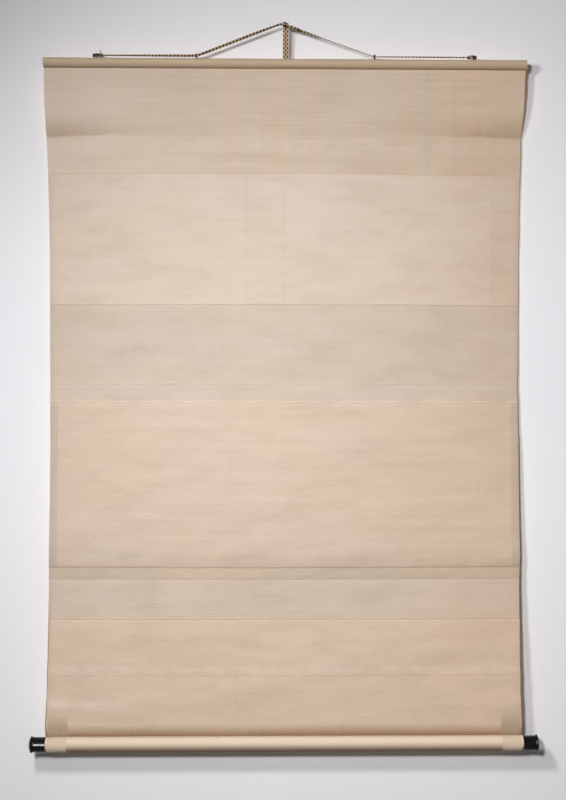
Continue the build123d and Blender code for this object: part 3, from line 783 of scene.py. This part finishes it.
# Painted shade just above the crease, strongest towards the side edges.
painted_crease_shade = times(line_mask(z_here, x_here, -203, 42, 2, 0.2), above_crease)
weave = plus(times(threads_along(here, 520.0, 0.5, "X"), 0.6), times(threads_along(here, 430.0, 0.9, "Z"), 0.4))
colour = laid(
    colour,
    (painted_crease_shade, rescaled(side_distance, 0.16, 0.45, 0.06, 0.46), (134, 92, 40)),
    # A pale band below the crease is a painted highlight.
    (line_mask(z_here, x_here, -222, 20, 6, 0.6), 0.30, (216, 200, 184)),
    *(
        (line_mask(z_here, x_here, at, 1.5, 6, 0.7), rescaled(side_distance, 0.04, 0.11, share, 0.0), (138, 110, 84))
        for at, share in PAINTED_WRINKLE_SHADE
    ),
    (rescaled(z_here, SILK_LOW + 0.003, SILK_LOW + 0.0004), 0.30, (192, 146, 110)),
    (weave, 0.10, (224, 208, 190)),
)
relief = plus(times(weave, 0.25), times(noise(here, (22.0, 0.0, 110.0), 6.0, 0.66), 5.0))
thread_sheen = rescaled(weave, 0.0, 1.0, 0.78, 0.60)
dress(silk_shader, colour, thread_sheen, relief, 0.35, 0.0006, Specular_IOR_Level=0.35, Sheen_Weight=0.08)

# %% Silk strip
SILK_STAND_OFF, SILK = 0.1 * MM, 0.35 * MM
silk_u = np.linspace(-1, 1, COLUMNS) * (1 - 0.5 * MM / HALF_TOP)
silk_share = np.linspace(0, 1, 96)[:, None]
silk_end = SILK_LOW + 0.35 * MM * np.sin(silk_u * 9 + 0.4) + 0.2 * MM * np.sin(silk_u * 31)
silk_z = STAVE_LOW - 0.2 * MM + silk_share * (silk_end - STAVE_LOW)[None, :]
silk_outer = backing_face(silk_u[None, :], silk_z, SILK_STAND_OFF + SILK)
silk_inner = backing_face(silk_u[None, :], silk_z, SILK_STAND_OFF)
points, faces, _ = closed_strip(silk_inner, silk_outer)
silk_piece = new_piece("cover_silk_piece", points, faces, (cover_silk,))
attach(silk_piece, "root")
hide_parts("cover_silk")
print("cover silk:", len(faces), "faces")

# %% [markdown]
# ## The corner patches
#
# The lower corners take the wear when a scroll is rolled, so patches of greyer paper are pasted over them and on round
# the roller. A patch follows one line: down the back of the tail, into the nip above the roller and round it. Columns
# near the inner edge start a little lower, which rounds that corner.

# %% Patch finish
patch_paper, patch_shader, here = new_material("patch_paper")
clouds = place(age_clouds, Vector=here, Size=22.0)
fibre = place(paper_fibre, Vector=here, Scale=0.8)
x_here, y_here, z_here = axes_of(here)
colour = laid(
    # Painted shade: the patch darkens down towards the nip above the roller.
    tints(rescaled(z_here, -1.277, -1.312), (211, 190, 168), (175, 153, 128)),
    (rescaled(x_here, 0.0, 0.1, 0.0, 0.22), 1, (152, 128, 102)),
    (rescaled(y_here, -0.012, -0.016), 1, (206, 186, 164)),
    (clouds["Warm"], 0.3, (190, 164, 136)),
    (clouds["Streak"], 0.14, (150, 132, 112)),
    (fibre["Mask"], 0.22, (214, 202, 184)),
)
fibre_sheen = rescaled(fibre["Mask"], 0.0, 1.0, 0.88, 0.76)
dress(patch_shader, colour, fibre_sheen, fibre["Height"], 0.4, 0.0004, Specular_IOR_Level=0.3)

# %% Patch strips
PATCH_WIDE, PATCH_TALL, PATCH_CORNER, PATCH_INSET = 36 * MM, 63 * MM, 9 * MM, 3 * MM
PATCH_OFF, PATCH = 0.1 * MM, 0.15 * MM


def patch_line(off):
    """The way down the tail and round the roller, stood off from the paper."""
    top = (TAIL_TOP_Y - PAPER - off, ROLLER_Z + PATCH_TALL)
    down = tail_profile(PAPER + off, top[1], math.radians(27.0))
    round_it = turned((ROLLER_Y, ROLLER_Z), WRAP_R + off, np.linspace(51, 371, 120))
    return np.vstack([[top], down, round_it])


def far_along(line):
    """Distance from a line's start to each of its points."""
    return np.concatenate([[0], np.cumsum(np.linalg.norm(np.diff(line, axis=0), axis=1))])


def patch_grid(off, side):
    line = patch_line(off)
    length = far_along(line)
    grid = []
    for inner in np.linspace(0, PATCH_WIDE, 22):
        short = np.clip(inner - (PATCH_WIDE - PATCH_CORNER), 0, PATCH_CORNER)
        start = PATCH_CORNER - math.sqrt(max(PATCH_CORNER**2 - short**2, 0))
        start = start + 0.25 * MM * math.sin(inner * 520 + side)
        where = start + (length[-1] - start) * np.linspace(0, 1, 90)
        y, z = np.interp(where, length, line[:, 0]), np.interp(where, length, line[:, 1])
        x = np.full_like(y, MIDDLE_X + side * (HALF_ROLL - PATCH_INSET - inner))
        grid.append(np.stack([x, y, z], -1))
    return np.array(grid).transpose(1, 0, 2)


for name, side in (("corner_patch_left", -1), ("corner_patch_right", 1)):
    outer, inner = patch_grid(PATCH_OFF + PATCH, side), patch_grid(PATCH_OFF, side)
    points, faces, _ = closed_strip(inner, outer) if side < 0 else closed_strip(outer, inner)
    piece = new_piece(name + "_piece", points, faces, (patch_paper,))
    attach(piece, "root")
    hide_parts(name)

# %% [markdown]
# ## Wood, lacquer and black iron
#
# The stave, the rod, the eyelets and their washers already have the right shape, so they keep their meshes and only get
# finishes: cedar with rings and long grain, and dull black iron. The knobs get black lacquer, on a finer turned shape
# of their own.

# %% Cedar
bare_wood, wood_shader, here = new_material("bare_wood")
ring_values = {"Vector": stretched(here, (6.0, 260.0, 260.0)), "Scale": 1.0, "Distortion": 3.0, "Detail": 3.0}
rings = put(bare_wood.node_tree, "ShaderNodeTexWave", into=ring_values, wave_type="RINGS", rings_direction="X")
pores = noise(here, (40.0, 1500.0, 1500.0), 3.0)
colour = laid(tints(rings.outputs["Fac"], (196, 158, 112), (164, 120, 78)), (pores, 0.35, (120, 86, 56)))
dress(wood_shader, colour, rescaled(pores, 0.2, 0.8, 0.62, 0.8), pores, 0.3, 0.0003)

# %% Black lacquer
black_lacquer, lacquer_shader, here = new_material("black_lacquer")
smear = noise(here, 120.0, 4.0, 0.6)
scuff = rescaled(noise(here, (900.0, 160.0, 160.0), 4.0, 0.7), 0.62, 0.8)
colour = mixed(smear, (0.0022, 0.0020, 0.0020, 1), (0.005, 0.0044, 0.004, 1))
colour = mixed(times(scuff, 0.14), colour, (0.03, 0.024, 0.02, 1))
dress(
    lacquer_shader, colour, rescaled(smear, 0.3, 0.7, 0.12, 0.24), smear, 0.12, 0.0004,
    Specular_IOR_Level=0.1, Coat_Weight=0.06, Coat_Roughness=0.07,
)

# %% Black iron, and which solid gets which finish
black_iron, iron_shader, here = new_material("black_iron")
pitting = noise(here, 900.0, 4.0, 0.6)
colour = mixed(rescaled(pitting, 0.4, 0.7), (0.006, 0.006, 0.006, 1), (0.022, 0.02, 0.018, 1))
dress(iron_shader, colour, rescaled(pitting, 0.3, 0.7, 0.42, 0.62), pitting, 0.3, 0.0002, Metallic=0.4)

FINISH_OF = {"top_stave": bare_wood, "roller_rod": bare_wood, "eyelet": black_iron, "washer": black_iron}
for name, solid in solids.items():
    for start, finish in FINISH_OF.items():
        if name.startswith(start):
            solid.data.materials.clear()
            solid.data.materials.append(finish)

# %% [markdown]
# ## Turned end knobs
#
# A knob is turned on a lathe: a straight body, a short flare up to a rim, a lip and a domed end, with a socket for the
# rod's tenon. The same outline, swept round the rod's axis, gives the mesh. A straight body draws a straight
# highlight.

# %% Turn the knobs
KNOB_START, KNOB_LONG = 444 * MM, 32 * MM
BODY_R, FLARE, FLARE_FROM, RIM_AT = 13.5 * MM, 1.9 * MM, 21.5 * MM, 27 * MM
SOCKET_R, SOCKET_DEEP, DOME_EDGE = 7.15 * MM, 17.15 * MM, 14.8 * MM


def knob_outline():
    """Distance from the foot and radius, from the bottom of the socket round to the middle of the dome."""
    along_body = np.linspace(0.5 * MM, RIM_AT, 30)
    body = BODY_R + FLARE * np.clip((along_body - FLARE_FROM) / (RIM_AT - FLARE_FROM), 0, 1) ** 2
    drop = KNOB_LONG - RIM_AT - 0.5 * MM
    dome_r = (DOME_EDGE**2 + drop**2) / (2 * drop)
    radius = np.linspace(DOME_EDGE, 0, 16)
    dome = KNOB_LONG - dome_r + np.sqrt(dome_r**2 - radius**2)
    socket = [(SOCKET_DEEP, 0), (SOCKET_DEEP, SOCKET_R), (0, SOCKET_R), (0, BODY_R - 0.4 * MM)]
    rim = [(RIM_AT + 0.35 * MM, BODY_R + FLARE), (RIM_AT + 0.5 * MM, DOME_EDGE + 0.3 * MM)]
    return np.vstack([socket, np.stack([along_body, body], -1), rim, np.stack([dome, radius], -1)])


def turned_knob(name, side, around=72):
    outline = knob_outline()
    foot, radius = outline[1:-1, :1], outline[1:-1, 1:]
    angle = np.linspace(0, 2 * math.pi, around, endpoint=False)
    x = MIDDLE_X + side * (KNOB_START + foot) + 0 * angle
    rings = np.stack([x, ROLLER_Y + radius * np.cos(angle), ROLLER_Z + radius * np.sin(angle)], -1)
    ends = [(MIDDLE_X + side * (KNOB_START + outline[k, 0]), ROLLER_Y, ROLLER_Z) for k in (0, -1)]
    index = np.arange(rings.shape[0] * around).reshape(-1, around)
    ahead = np.roll(index, -1, axis=1)
    faces = np.stack([index[:-1], index[1:], ahead[1:], ahead[:-1]], -1).reshape(-1, 4).tolist()
    faces += [(index.size, a, b) for a, b in zip(index[0], ahead[0])]
    faces += [(index.size + 1, b, a) for a, b in zip(index[-1], ahead[-1])]
    faces = faces if side < 0 else [face[::-1] for face in faces]
    return new_piece(name, np.vstack([rings.reshape(-1, 3), ends]), faces, (black_lacquer,), smooth_below=35.0)


for name, side in (("knob_left", -1), ("knob_right", 1)):
    knob = turned_knob(name + "_turned", side)
    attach(knob, "root")
    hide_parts(name)
    print(knob.name, len(knob.data.polygons), "faces")

# %% [markdown]
# ## Flat braid
#
# The hanging cord and the winding ribbon are flat braids of black and tan plies. A tube is made first whose every face
# is one stitch of the braid. Geometry Nodes then set a small padded stitch on each face, turned to lean left and right
# by turns, and coloured by its ply. The tube itself stays inside as the core that closes the gaps.

# %% Thread finishes
def thread_finish(name, dark, light, scale):
    material, shader, here = new_material(name)
    twist = noise(here, scale, 3.0, 0.6)
    colour = tints(rescaled(twist, 0.3, 0.7), dark, light)
    sheen = rescaled(twist, 0.3, 0.7, 0.72, 0.55)
    dress(shader, colour, sheen, twist, 0.5, 0.0002, Specular_IOR_Level=0.2, Sheen_Weight=0.05)
    return material


tan_ply = thread_finish("tan_ply", (196, 160, 118), (234, 202, 160), 2200.0)
black_ply = thread_finish("black_ply", (5, 4, 4), (16, 13, 12), 2200.0)
braid_core = thread_finish("braid_core", (70, 54, 40), (110, 86, 64), 900.0)

# %% One stitch: a low padded lens, one unit long and wide
SIDES = 6
around = np.radians(np.arange(SIDES) * 60 + 30)
lens = [(0, 0, 0.5)]
for radius, height in ((0.40, 0.34), (0.56, -0.12)):
    lens += [(radius * math.cos(a), radius * math.sin(a), height) for a in around]
after = [(k + 1) % SIDES for k in range(SIDES)]
lens_faces = [(0, 1 + k, 1 + after[k]) for k in range(SIDES)]
lens_faces += [(1 + k, 7 + k, 7 + after[k], 1 + after[k]) for k in range(SIDES)] + [tuple(range(12, 6, -1))]
stitch = new_piece("stitch_pattern", lens, lens_faces, (), smooth_below=80.0)
print("stitch:", len(lens_faces), "faces")

# %% Geometry Nodes tree that sets the stitches
stitch_tree = bpy.data.node_groups.new("set stitches", "GeometryNodeTree")
stitch_tree.interface.new_socket("Geometry", in_out="OUTPUT", socket_type="NodeSocketGeometry")
stitch_inputs = {"Geometry": "Geometry", "Stitch": "Object", "Length": "Float", "Width": "Float", "Height": "Float"}
stitch_sockets = {
    label: stitch_tree.interface.new_socket(label, in_out="INPUT", socket_type="NodeSocket" + kind).identifier
    for label, kind in stitch_inputs.items()
}
given = stitch_tree.nodes.new("NodeGroupInput").outputs


def step_of(kind, *values, into=None, **settings):
    """Add one step to the tree and give its first output."""
    return put(stitch_tree, kind, *values, into=into, **settings).outputs[0]


def stored(name, kind):
    return put(stitch_tree, "GeometryNodeInputNamedAttribute", name, data_type=kind).outputs["Attribute"]


spots = step_of("GeometryNodeMeshToPoints", given["Geometry"], mode="FACES")
outward, run = stored("outward", "FLOAT_VECTOR"), stored("run", "FLOAT_VECTOR")
lying = step_of("FunctionNodeAxesToRotation", outward, run, primary_axis="Z", secondary_axis="X")
lean = step_of("FunctionNodeAxisAngleToRotation", (0.0, 0.0, 1.0), stored("lean", "FLOAT"))
leaning = step_of("FunctionNodeRotateRotation", lying, lean, rotation_space="LOCAL")
shape = put(stitch_tree, "GeometryNodeObjectInfo", given["Stitch"]).outputs["Geometry"]
size = step_of("ShaderNodeCombineXYZ", given["Length"], given["Width"], given["Height"])
set_on = step_of("GeometryNodeInstanceOnPoints", spots, into={"Instance": shape, "Rotation": leaning, "Scale": size})
made = step_of("GeometryNodeRealizeInstances", set_on)
ply_number = {2: stored("ply", "INT"), 3: 0}
is_black = step_of("FunctionNodeCompare", into=ply_number, data_type="INT", operation="GREATER_THAN")
made = step_of("GeometryNodeSetMaterial", made, into={"Material": tan_ply})
made = step_of("GeometryNodeSetMaterial", made, is_black, into={"Material": black_ply})
core = step_of("GeometryNodeSetMaterial", given["Geometry"], into={"Material": braid_core})
joined = stitch_tree.nodes.new("GeometryNodeJoinGeometry")
for part in (core, made):
    set_input(joined.inputs[0], part)
put(stitch_tree, "NodeGroupOutput", joined.outputs[0])
print("stitch tree:", len(stitch_tree.nodes), "nodes")


# %% Section and plies of a braid
EDGE_SHARE = 0.30  # of the thickness, by which the flat sides stop short of the braid's edges


def even_points(line, pitch):
    """Points at equal distances along a line, and those distances."""
    line = np.asarray(line, float)
    far = far_along(line)
    where = np.linspace(0, far[-1], max(int(round(far[-1] / pitch)), 2) + 1)
    return np.stack([np.interp(where, far, line[:, k]) for k in range(3)], -1), where


def slot_section(wide, thick, flats):
    """Corners of a flat braid's section: some stitches on each flat side and one round each edge."""
    half = wide / 2 - EDGE_SHARE * thick
    top = np.stack([np.linspace(half, -half, flats + 1), np.full(flats + 1, thick / 2)], -1)
    return np.concatenate([top, top[::-1] * (1, -1)])


def checks(long, wide):
    """A rule for the plies: squares of black and tan, so many stitches long and wide."""
    return lambda row, column: (row // long + column // wide) % 2


# %% A braid along a line of points
LEAN = np.radians(34)
STITCH_LONG, STITCH_WIDE, STITCH_HIGH = 1.42, 1.02, 0.5 * MM  # in pitches, in stitches and in metres


def unit(vectors):
    return vectors / np.linalg.norm(vectors, axis=1)[:, None]


def braid_skin(name, line, wide, thick, flats, pitch, width_way, black, plies):
    """The tube of a braid, with a face for each stitch, and the points along its middle."""
    middle, where = even_points(line, pitch)
    run = unit(np.gradient(middle, axis=0))
    way = np.array([width_way(p, t) for p, t in zip(middle, run)])
    way = unit(way - (way * run).sum(1)[:, None] * run)
    section = slot_section(wide, thick, flats)
    sides = len(section)
    grid = middle[:, None] + section[None, :, :1] * way[:, None] + section[None, :, 1:] * np.cross(run, way)[:, None]
    index = np.arange(len(middle) * sides).reshape(len(middle), sides)
    ahead = np.roll(index, -1, axis=1)
    quads = np.stack([index[:-1], ahead[:-1], ahead[1:], index[1:]], -1).reshape(-1, 4)
    points = grid.reshape(-1, 3)
    skin = new_piece(name, points, [*quads.tolist(), index[0][::-1].tolist(), index[-1].tolist()], ())
    corner = points[quads]
    outward = unit(np.cross(corner[:, 1] - corner[:, 0], corner[:, 3] - corner[:, 0]))
    row, column = np.divmod(np.arange(len(quads)), sides)
    ply = plies(row, column)
    if black is not None:
        ply = np.where(black(where[row]), 1, ply)
    values = {  # of each face, and of the two end caps last
        "outward": ("FLOAT_VECTOR", "vector", np.vstack([outward, -run[:1], run[-1:]])),
        "run": ("FLOAT_VECTOR", "vector", np.vstack([run[row], way[:1], way[-1:]])),
        "lean": ("FLOAT", "value", np.concatenate([LEAN * np.where(column % 2, 1, -1), [0, 0]])),
        "ply": ("INT", "value", np.concatenate([ply, [1, 1]])),
    }
    for label, (kind, key, value) in values.items():
        attribute = skin.data.attributes.new(label, kind, "FACE")
        attribute.data.foreach_set(key, np.asarray(value, dtype=np.int32 if kind == "INT" else np.float32).ravel())
    return skin, middle


def braid(name, line, wide, thick, flats, pitch, width_way, black=None, plies=checks(1, 1)):
    """A flat braid along a line; width_way gives the direction of its width at a point and a run."""
    skin, middle = braid_skin(name, line, wide, thick, flats, pitch, width_way, black, plies)
    one_wide = 2 * (wide / 2 - EDGE_SHARE * thick) / flats
    modifier = skin.modifiers.new("stitches", "NODES")
    modifier.node_group = stitch_tree
    modifier[stitch_sockets["Stitch"]] = stitch
    for label, value in (("Length", STITCH_LONG * pitch), ("Width", STITCH_WIDE * one_wide), ("Height", STITCH_HIGH)):
        modifier[stitch_sockets[label]] = value
    whole = bpy.data.meshes.new_from_object(skin.evaluated_get(bpy.context.evaluated_depsgraph_get()))
    skin.modifiers.remove(modifier)
    skin.data = whole
    skin.data.name = name
    return skin, middle


def along_x(point, run):
    return np.array((1.0, 0, 0))


def along_y(point, run):
    return np.array((0, 1.0, 0))


# %% [markdown]
# ## The hanging cord
#
# Its line is a smooth curve on the route of the solid cord: from the left knot through one inner ring, up to its
# highest point, down through the other ring and on to the right knot. The flat braid twists on its way: it leans on
# the left slope, lies nearly flat at the top, stands almost on edge just beyond the ribbon and leans the other way on
# the right slope. So its width is turned along the line.

# %% Route and turns of the hanging cord
def route_curve(name, route):
    """A smooth curve on a route's points, and the points along it."""
    curve = bpy.data.curves.new(name, "CURVE")
    curve.dimensions = "3D"
    spline = curve.splines.new("NURBS")
    spline.points.add(len(route) - 1)
    for point, place_on_route in zip(spline.points, route):
        point.co = (*place_on_route, 1.0)
    spline.order_u = 3
    spline.use_endpoint_u = True
    spline.resolution_u = 48
    holder = bpy.data.objects.new(name, curve)
    bpy.context.scene.collection.objects.link(holder)
    line = bpy.data.meshes.new_from_object(holder.evaluated_get(bpy.context.evaluated_depsgraph_get()))
    points = np.array([v.co for v in line.vertices])
    bpy.data.objects.remove(holder)
    bpy.data.meshes.remove(line)
    return points


CORD_ROUTE = (
    (-0.3283, 0, -0.0586), (-0.160, 0, -0.0586), (-0.15405, 0, -0.05805), (-0.004, 0, 0.001),
    (0.004, 0, 0.001), (0.17204, 0, -0.0581), (0.178, 0, -0.0586), (0.3463, 0, -0.0586),
)
CORD_TURNS = (  # x in mm and how far the flat braid is turned on edge, in degrees
    (-325, -2), (-270, 6), (-200, 22), (-158, 26), (-150, 28), (-132, 36), (-40, 34), (-12, 10),
    (12, 24), (18, 60), (29, 60), (36, 22), (50, 16), (66, 4), (76, -15), (172, -15), (200, -6), (343, -4),
)
CORD_WIDE, CORD_THICK, CORD_PITCH = 6 * MM, 1.1 * MM, 1.35 * MM


def cord_width_way(point, run):
    turn = math.radians(np.interp(point[0] / MM, *zip(*CORD_TURNS)))
    return math.cos(turn) * along_y(point, run) - math.sin(turn) * np.cross(run, (0, 1, 0))


def cord_plies(row, column):
    """Bands of three black and two tan stitches, which step on at the braid's edges."""
    return (row + column % 5 // 3) % 5 < 3


hanging_cord, cord_middle = braid(
    "hanging_cord_braid", route_curve("hanging_cord_line", CORD_ROUTE), CORD_WIDE, CORD_THICK, 4, CORD_PITCH,
    cord_width_way, black=lambda far: (far > 0.369) & (far < 0.376), plies=cord_plies,
)

# %% [markdown]
# ## Knots and hitch
#
# At each outer eyelet the cord goes through the ring, comes back and is wound round itself, which makes a spindle. The
# ribbon holds on to the cord with turns round it. All are short braids on their own lines: a coil, a strand through
# the ring, a stopper behind it, and closed loops.

# %% Lines of a knot
RING_Z = -58.6 * MM


def mirrored(points, side):
    """Points of the left side, or for the right side their mirror images."""
    points = np.array(points, float)
    if side > 0:
        points[:, 0] = 2 * MIDDLE_X - points[:, 0]
    return points


def coil(start, stop, radius, turns, z, side):
    """A coil along X that swells in its middle."""
    t = np.linspace(0, 1, 30 * turns)
    a = 2 * math.pi * turns * t
    swell = radius * (0.88 + 0.24 * np.sin(math.pi * t))
    return mirrored(np.stack([start + (stop - start) * t, swell * np.cos(a), z + swell * np.sin(a)], -1), side)


def joined_piece(name, parts):
    """Join several short braids into the first and give the result a name."""
    with bpy.context.temp_override(active_object=parts[0], selected_editable_objects=parts):
        bpy.ops.object.join()
    parts[0].name = parts[0].data.name = name
    return parts[0]


def all_black(far):
    return far > -1


# %% Knots at the outer eyelets
TAIL = np.array(((-333, -2.6, -56.5), (-334.6, -3.4, -53.5), (-335.6, -2.8, -51.0), (-336, -1.6, -49.6))) * MM
THROUGH = np.array([(-x * MM, 0, RING_Z) for x in range(330, 348, 2)])
for name, side, stop_far, stop_turns, dark_end in (
    ("cord_knot_left", -1, -349.4, 3, 0.026), ("cord_knot_right", 1, -347.0, 2, 0.006),
):
    wound = coil(-340.0 * MM, -330.0 * MM, 2.6 * MM, 4, RING_Z, side)
    stopper = coil(-344.4 * MM, stop_far * MM, 2.5 * MM, stop_turns, RING_Z - 0.5 * MM, side)
    parts = [  # line, width, thickness, stitches on a flat, pitch and way of the width
        braid(
            name + "_wound", wound, 2.7 * MM, 1.3 * MM, 2, 1.3 * MM, along_x,
            black=lambda far: far < dark_end, plies=checks(3, 4),
        )[0],
        braid(name + "_through", mirrored(THROUGH, side), 3.0 * MM, 1.8 * MM, 2, 1.2 * MM, along_y, black=all_black)[0],
        braid(name + "_stopper", stopper, 2.6 * MM, 1.3 * MM, 2, 1.3 * MM, along_x, black=all_black)[0],
    ]
    if side < 0:
        parts.append(braid(name + "_tail", TAIL, 1.8 * MM, 1.1 * MM, 2, 1.2 * MM, along_x, plies=checks(2, 2))[0])
    knot = joined_piece(name + "_wound_braid", parts)
    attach(knot, "root")
    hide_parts(name)

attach(hanging_cord, "root")
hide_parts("hanging_cord")

# %% [markdown]
# ## The winding ribbon and its hitch
#
# When the scroll is rolled, this wider braid ties it. Here it hangs from the cord, passes behind the stave and hangs
# down the picture side, so only its top shows to the room.

# %% Ribbon along its route
RIBBON_ROUTE = (
    (0.0087, 0, -0.0066), (0.0087, 0.00755, -0.0624), (0.0087, 0.00995, -0.2124), (0.0087, 0.00995, -0.90761),
)
RIBBON_WIDE, RIBBON_THICK, RIBBON_PITCH = 10 * MM, 1.2 * MM, 1.9 * MM
winding_ribbon, ribbon_middle = braid(
    "winding_ribbon_braid", route_curve("winding_ribbon_line", RIBBON_ROUTE), RIBBON_WIDE, RIBBON_THICK, 6,
    RIBBON_PITCH, along_x, plies=checks(2, 2),
)

# %% Hitch: three turns of the ribbon round the cord
SLOPE = math.atan2(59.1, 168.0)
angle = np.linspace(0, 2 * math.pi, 41)
angle[-1] = 0  # a loop ends where it starts
loop_y = 3.9 * np.sign(np.cos(angle)) * np.abs(np.cos(angle)) ** 0.6
hitch_parts = []
for number, (loop_x, tall, drop) in enumerate(((5.2, 4.1, 1.2), (8.6, 5.0, 1.9), (12.0, 4.1, 1.2))):  # in mm
    loop_z = tall * np.sin(angle) - drop - (loop_x - 13.0) * math.tan(SLOPE) - 1.0
    loop = np.stack([np.full_like(angle, loop_x), loop_y, loop_z], -1) * MM
    hitch_parts.append(braid(
        f"hitch_turn_{number}", loop, 3.5 * MM, 1.4 * MM, 2, 1.6 * MM, along_x,
        black=lambda far: (far * 1000) % 7 < 4.5,
    )[0])
hitch = joined_piece("ribbon_hitch_turns", hitch_parts)
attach(hitch, "root")
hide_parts("ribbon_hitch")
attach(winding_ribbon, "root")
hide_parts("winding_ribbon")
bpy.data.objects.remove(stitch)
print("hitch:", len(hitch.data.polygons), "faces")

# %% [markdown]
# ## Wall, light and camera
#
# The wall stands a little behind the stave and nearly touches the curled side edges, so shadows are narrow there and
# wide at the stave and the roller. Two lamps give two shadows: one beside the camera and one nearer and higher. A strip
# lamp that only shines in gloss draws the bright line on the lacquer, and a wide one fills from the right. The wall is
# there only from the front, so the picture side can be looked at too, under a lamp of its own.

# %% Wall
WALL_Y = 36 * MM
WALL_CORNERS = [(-4, WALL_Y, -1.9), (4, WALL_Y, -1.9), (4, WALL_Y, 2.4), (-4, WALL_Y, 2.4)]
wall_paint, wall_shader, here = new_material("wall_paint")
tree = wall_paint.node_tree
set_input(wall_shader.inputs["Base Color"], tints(noise(here, 2.0, 3.0), (228, 227, 231), (234, 232, 235)))
wall_shader.inputs["Roughness"].default_value = 0.9
wall_shader.inputs["Specular IOR Level"].default_value = 0.2
from_behind = put(tree, "ShaderNodeNewGeometry").outputs["Backfacing"]
as_shadow = put(tree, "ShaderNodeLightPath").outputs["Is Shadow Ray"]
unseen = maths("MAXIMUM", from_behind, as_shadow)
clear = put(tree, "ShaderNodeBsdfTransparent").outputs[0]
shown = put(tree, "ShaderNodeMixShader", unseen, wall_shader.outputs[0], clear).outputs[0]
set_input(tree.nodes["Material Output"].inputs["Surface"], shown)
wall = new_piece("wall", WALL_CORNERS, [(0, 1, 2, 3)], (wall_paint,))
wall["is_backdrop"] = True


# %% Lamps
def soft_lamp(name, place_at, target, power, size, tall=None, spread=180, only_gloss=False):
    lamp = bpy.data.lights.new(name, "AREA")
    lamp.shape = "RECTANGLE" if tall else "DISK"
    lamp.size = size
    if tall:
        lamp.size_y = tall
    lamp.energy = power
    lamp.spread = math.radians(spread)
    holder = bpy.data.objects.new(name, lamp)
    holder.location = place_at
    holder.visible_camera = False
    holder.visible_diffuse = not only_gloss
    holder.rotation_euler = (Vector(target) - Vector(place_at)).to_track_quat("-Z", "Y").to_euler()
    bpy.context.scene.collection.objects.link(holder)


soft_lamp("lamp_by_camera", (-0.39, -2.1, -0.295), (1.0, WALL_Y, -2.2), 30.5, 0.22, spread=160)
soft_lamp("near_lamp", (-0.465, -1.214, -0.16), (1.3, WALL_Y, -2.1), 13.0, 0.22, spread=160)
soft_lamp("fill_lamp", (1.7, -2.4, -1.3), (0.2, 0.0, -0.9), 3.0, 2.0)
soft_lamp("strip_lamp", (-0.88, -2.1, -0.95), (-0.45, 0.0, -1.3), 40.0, 0.16, 0.90, only_gloss=True)
soft_lamp("wall_side_lamp", (0.8, 2.6, 0.4), (0.0, 0.0, -0.7), 60.0, 1.2)
print("lamps:", [lamp.name for lamp in bpy.data.lights])

# %% Room light: pale to the camera and in gloss, and weak as light
ROOM_LIGHT, ROOM_SEEN = 0.04, 0.5
room = bpy.data.worlds.new("room")
bpy.context.scene.world = room
room.use_nodes = True
path = put(room.node_tree, "ShaderNodeLightPath").outputs
through_or_in = maths("MAXIMUM", path["Is Glossy Ray"], path["Is Transmission Ray"])
seen = maths("MAXIMUM", path["Is Camera Ray"], through_or_in)
backdrop = room.node_tree.nodes["Background"]
backdrop.inputs["Color"].default_value = (1.0, 0.99, 0.98, 1)
set_input(backdrop.inputs["Strength"], rescaled(seen, 0.0, 1.0, ROOM_LIGHT, ROOM_SEEN, smooth=False))
bpy.context.scene.view_settings.view_transform = "Standard"

# %% Camera: its place and turn were found from the ends of the stave, the roller and the knobs
YAW, PITCH, ROLL = math.radians(0.930), math.radians(0.643), math.radians(0.0745)
ahead = Vector((math.sin(YAW) * math.cos(PITCH), math.cos(YAW) * math.cos(PITCH), -math.sin(PITCH)))
right = Vector((math.cos(YAW), -math.sin(YAW), 0))
up = right.cross(ahead)
right, up = math.cos(ROLL) * right + math.sin(ROLL) * up, math.cos(ROLL) * up - math.sin(ROLL) * right
eye = bpy.data.cameras.new("eye")
eye.lens = 50.53
eye.sensor_width = 36.0
eye.dof.use_dof = False
camera = bpy.data.objects.new("camera", eye)
camera.matrix_world = Matrix((right, up, -ahead)).transposed().to_4x4()
camera.location = (-29.4 * MM, -2.1, -675.7 * MM)
bpy.context.scene.collection.objects.link(camera)
bpy.context.scene.camera = camera

# %% Sizes, and the end
seen_low, seen_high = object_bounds()
for label, box in (("solids", cad_high - cad_low), ("looks", seen_high - seen_low)):
    print("box of the", label, [round(v, 4) for v in box])
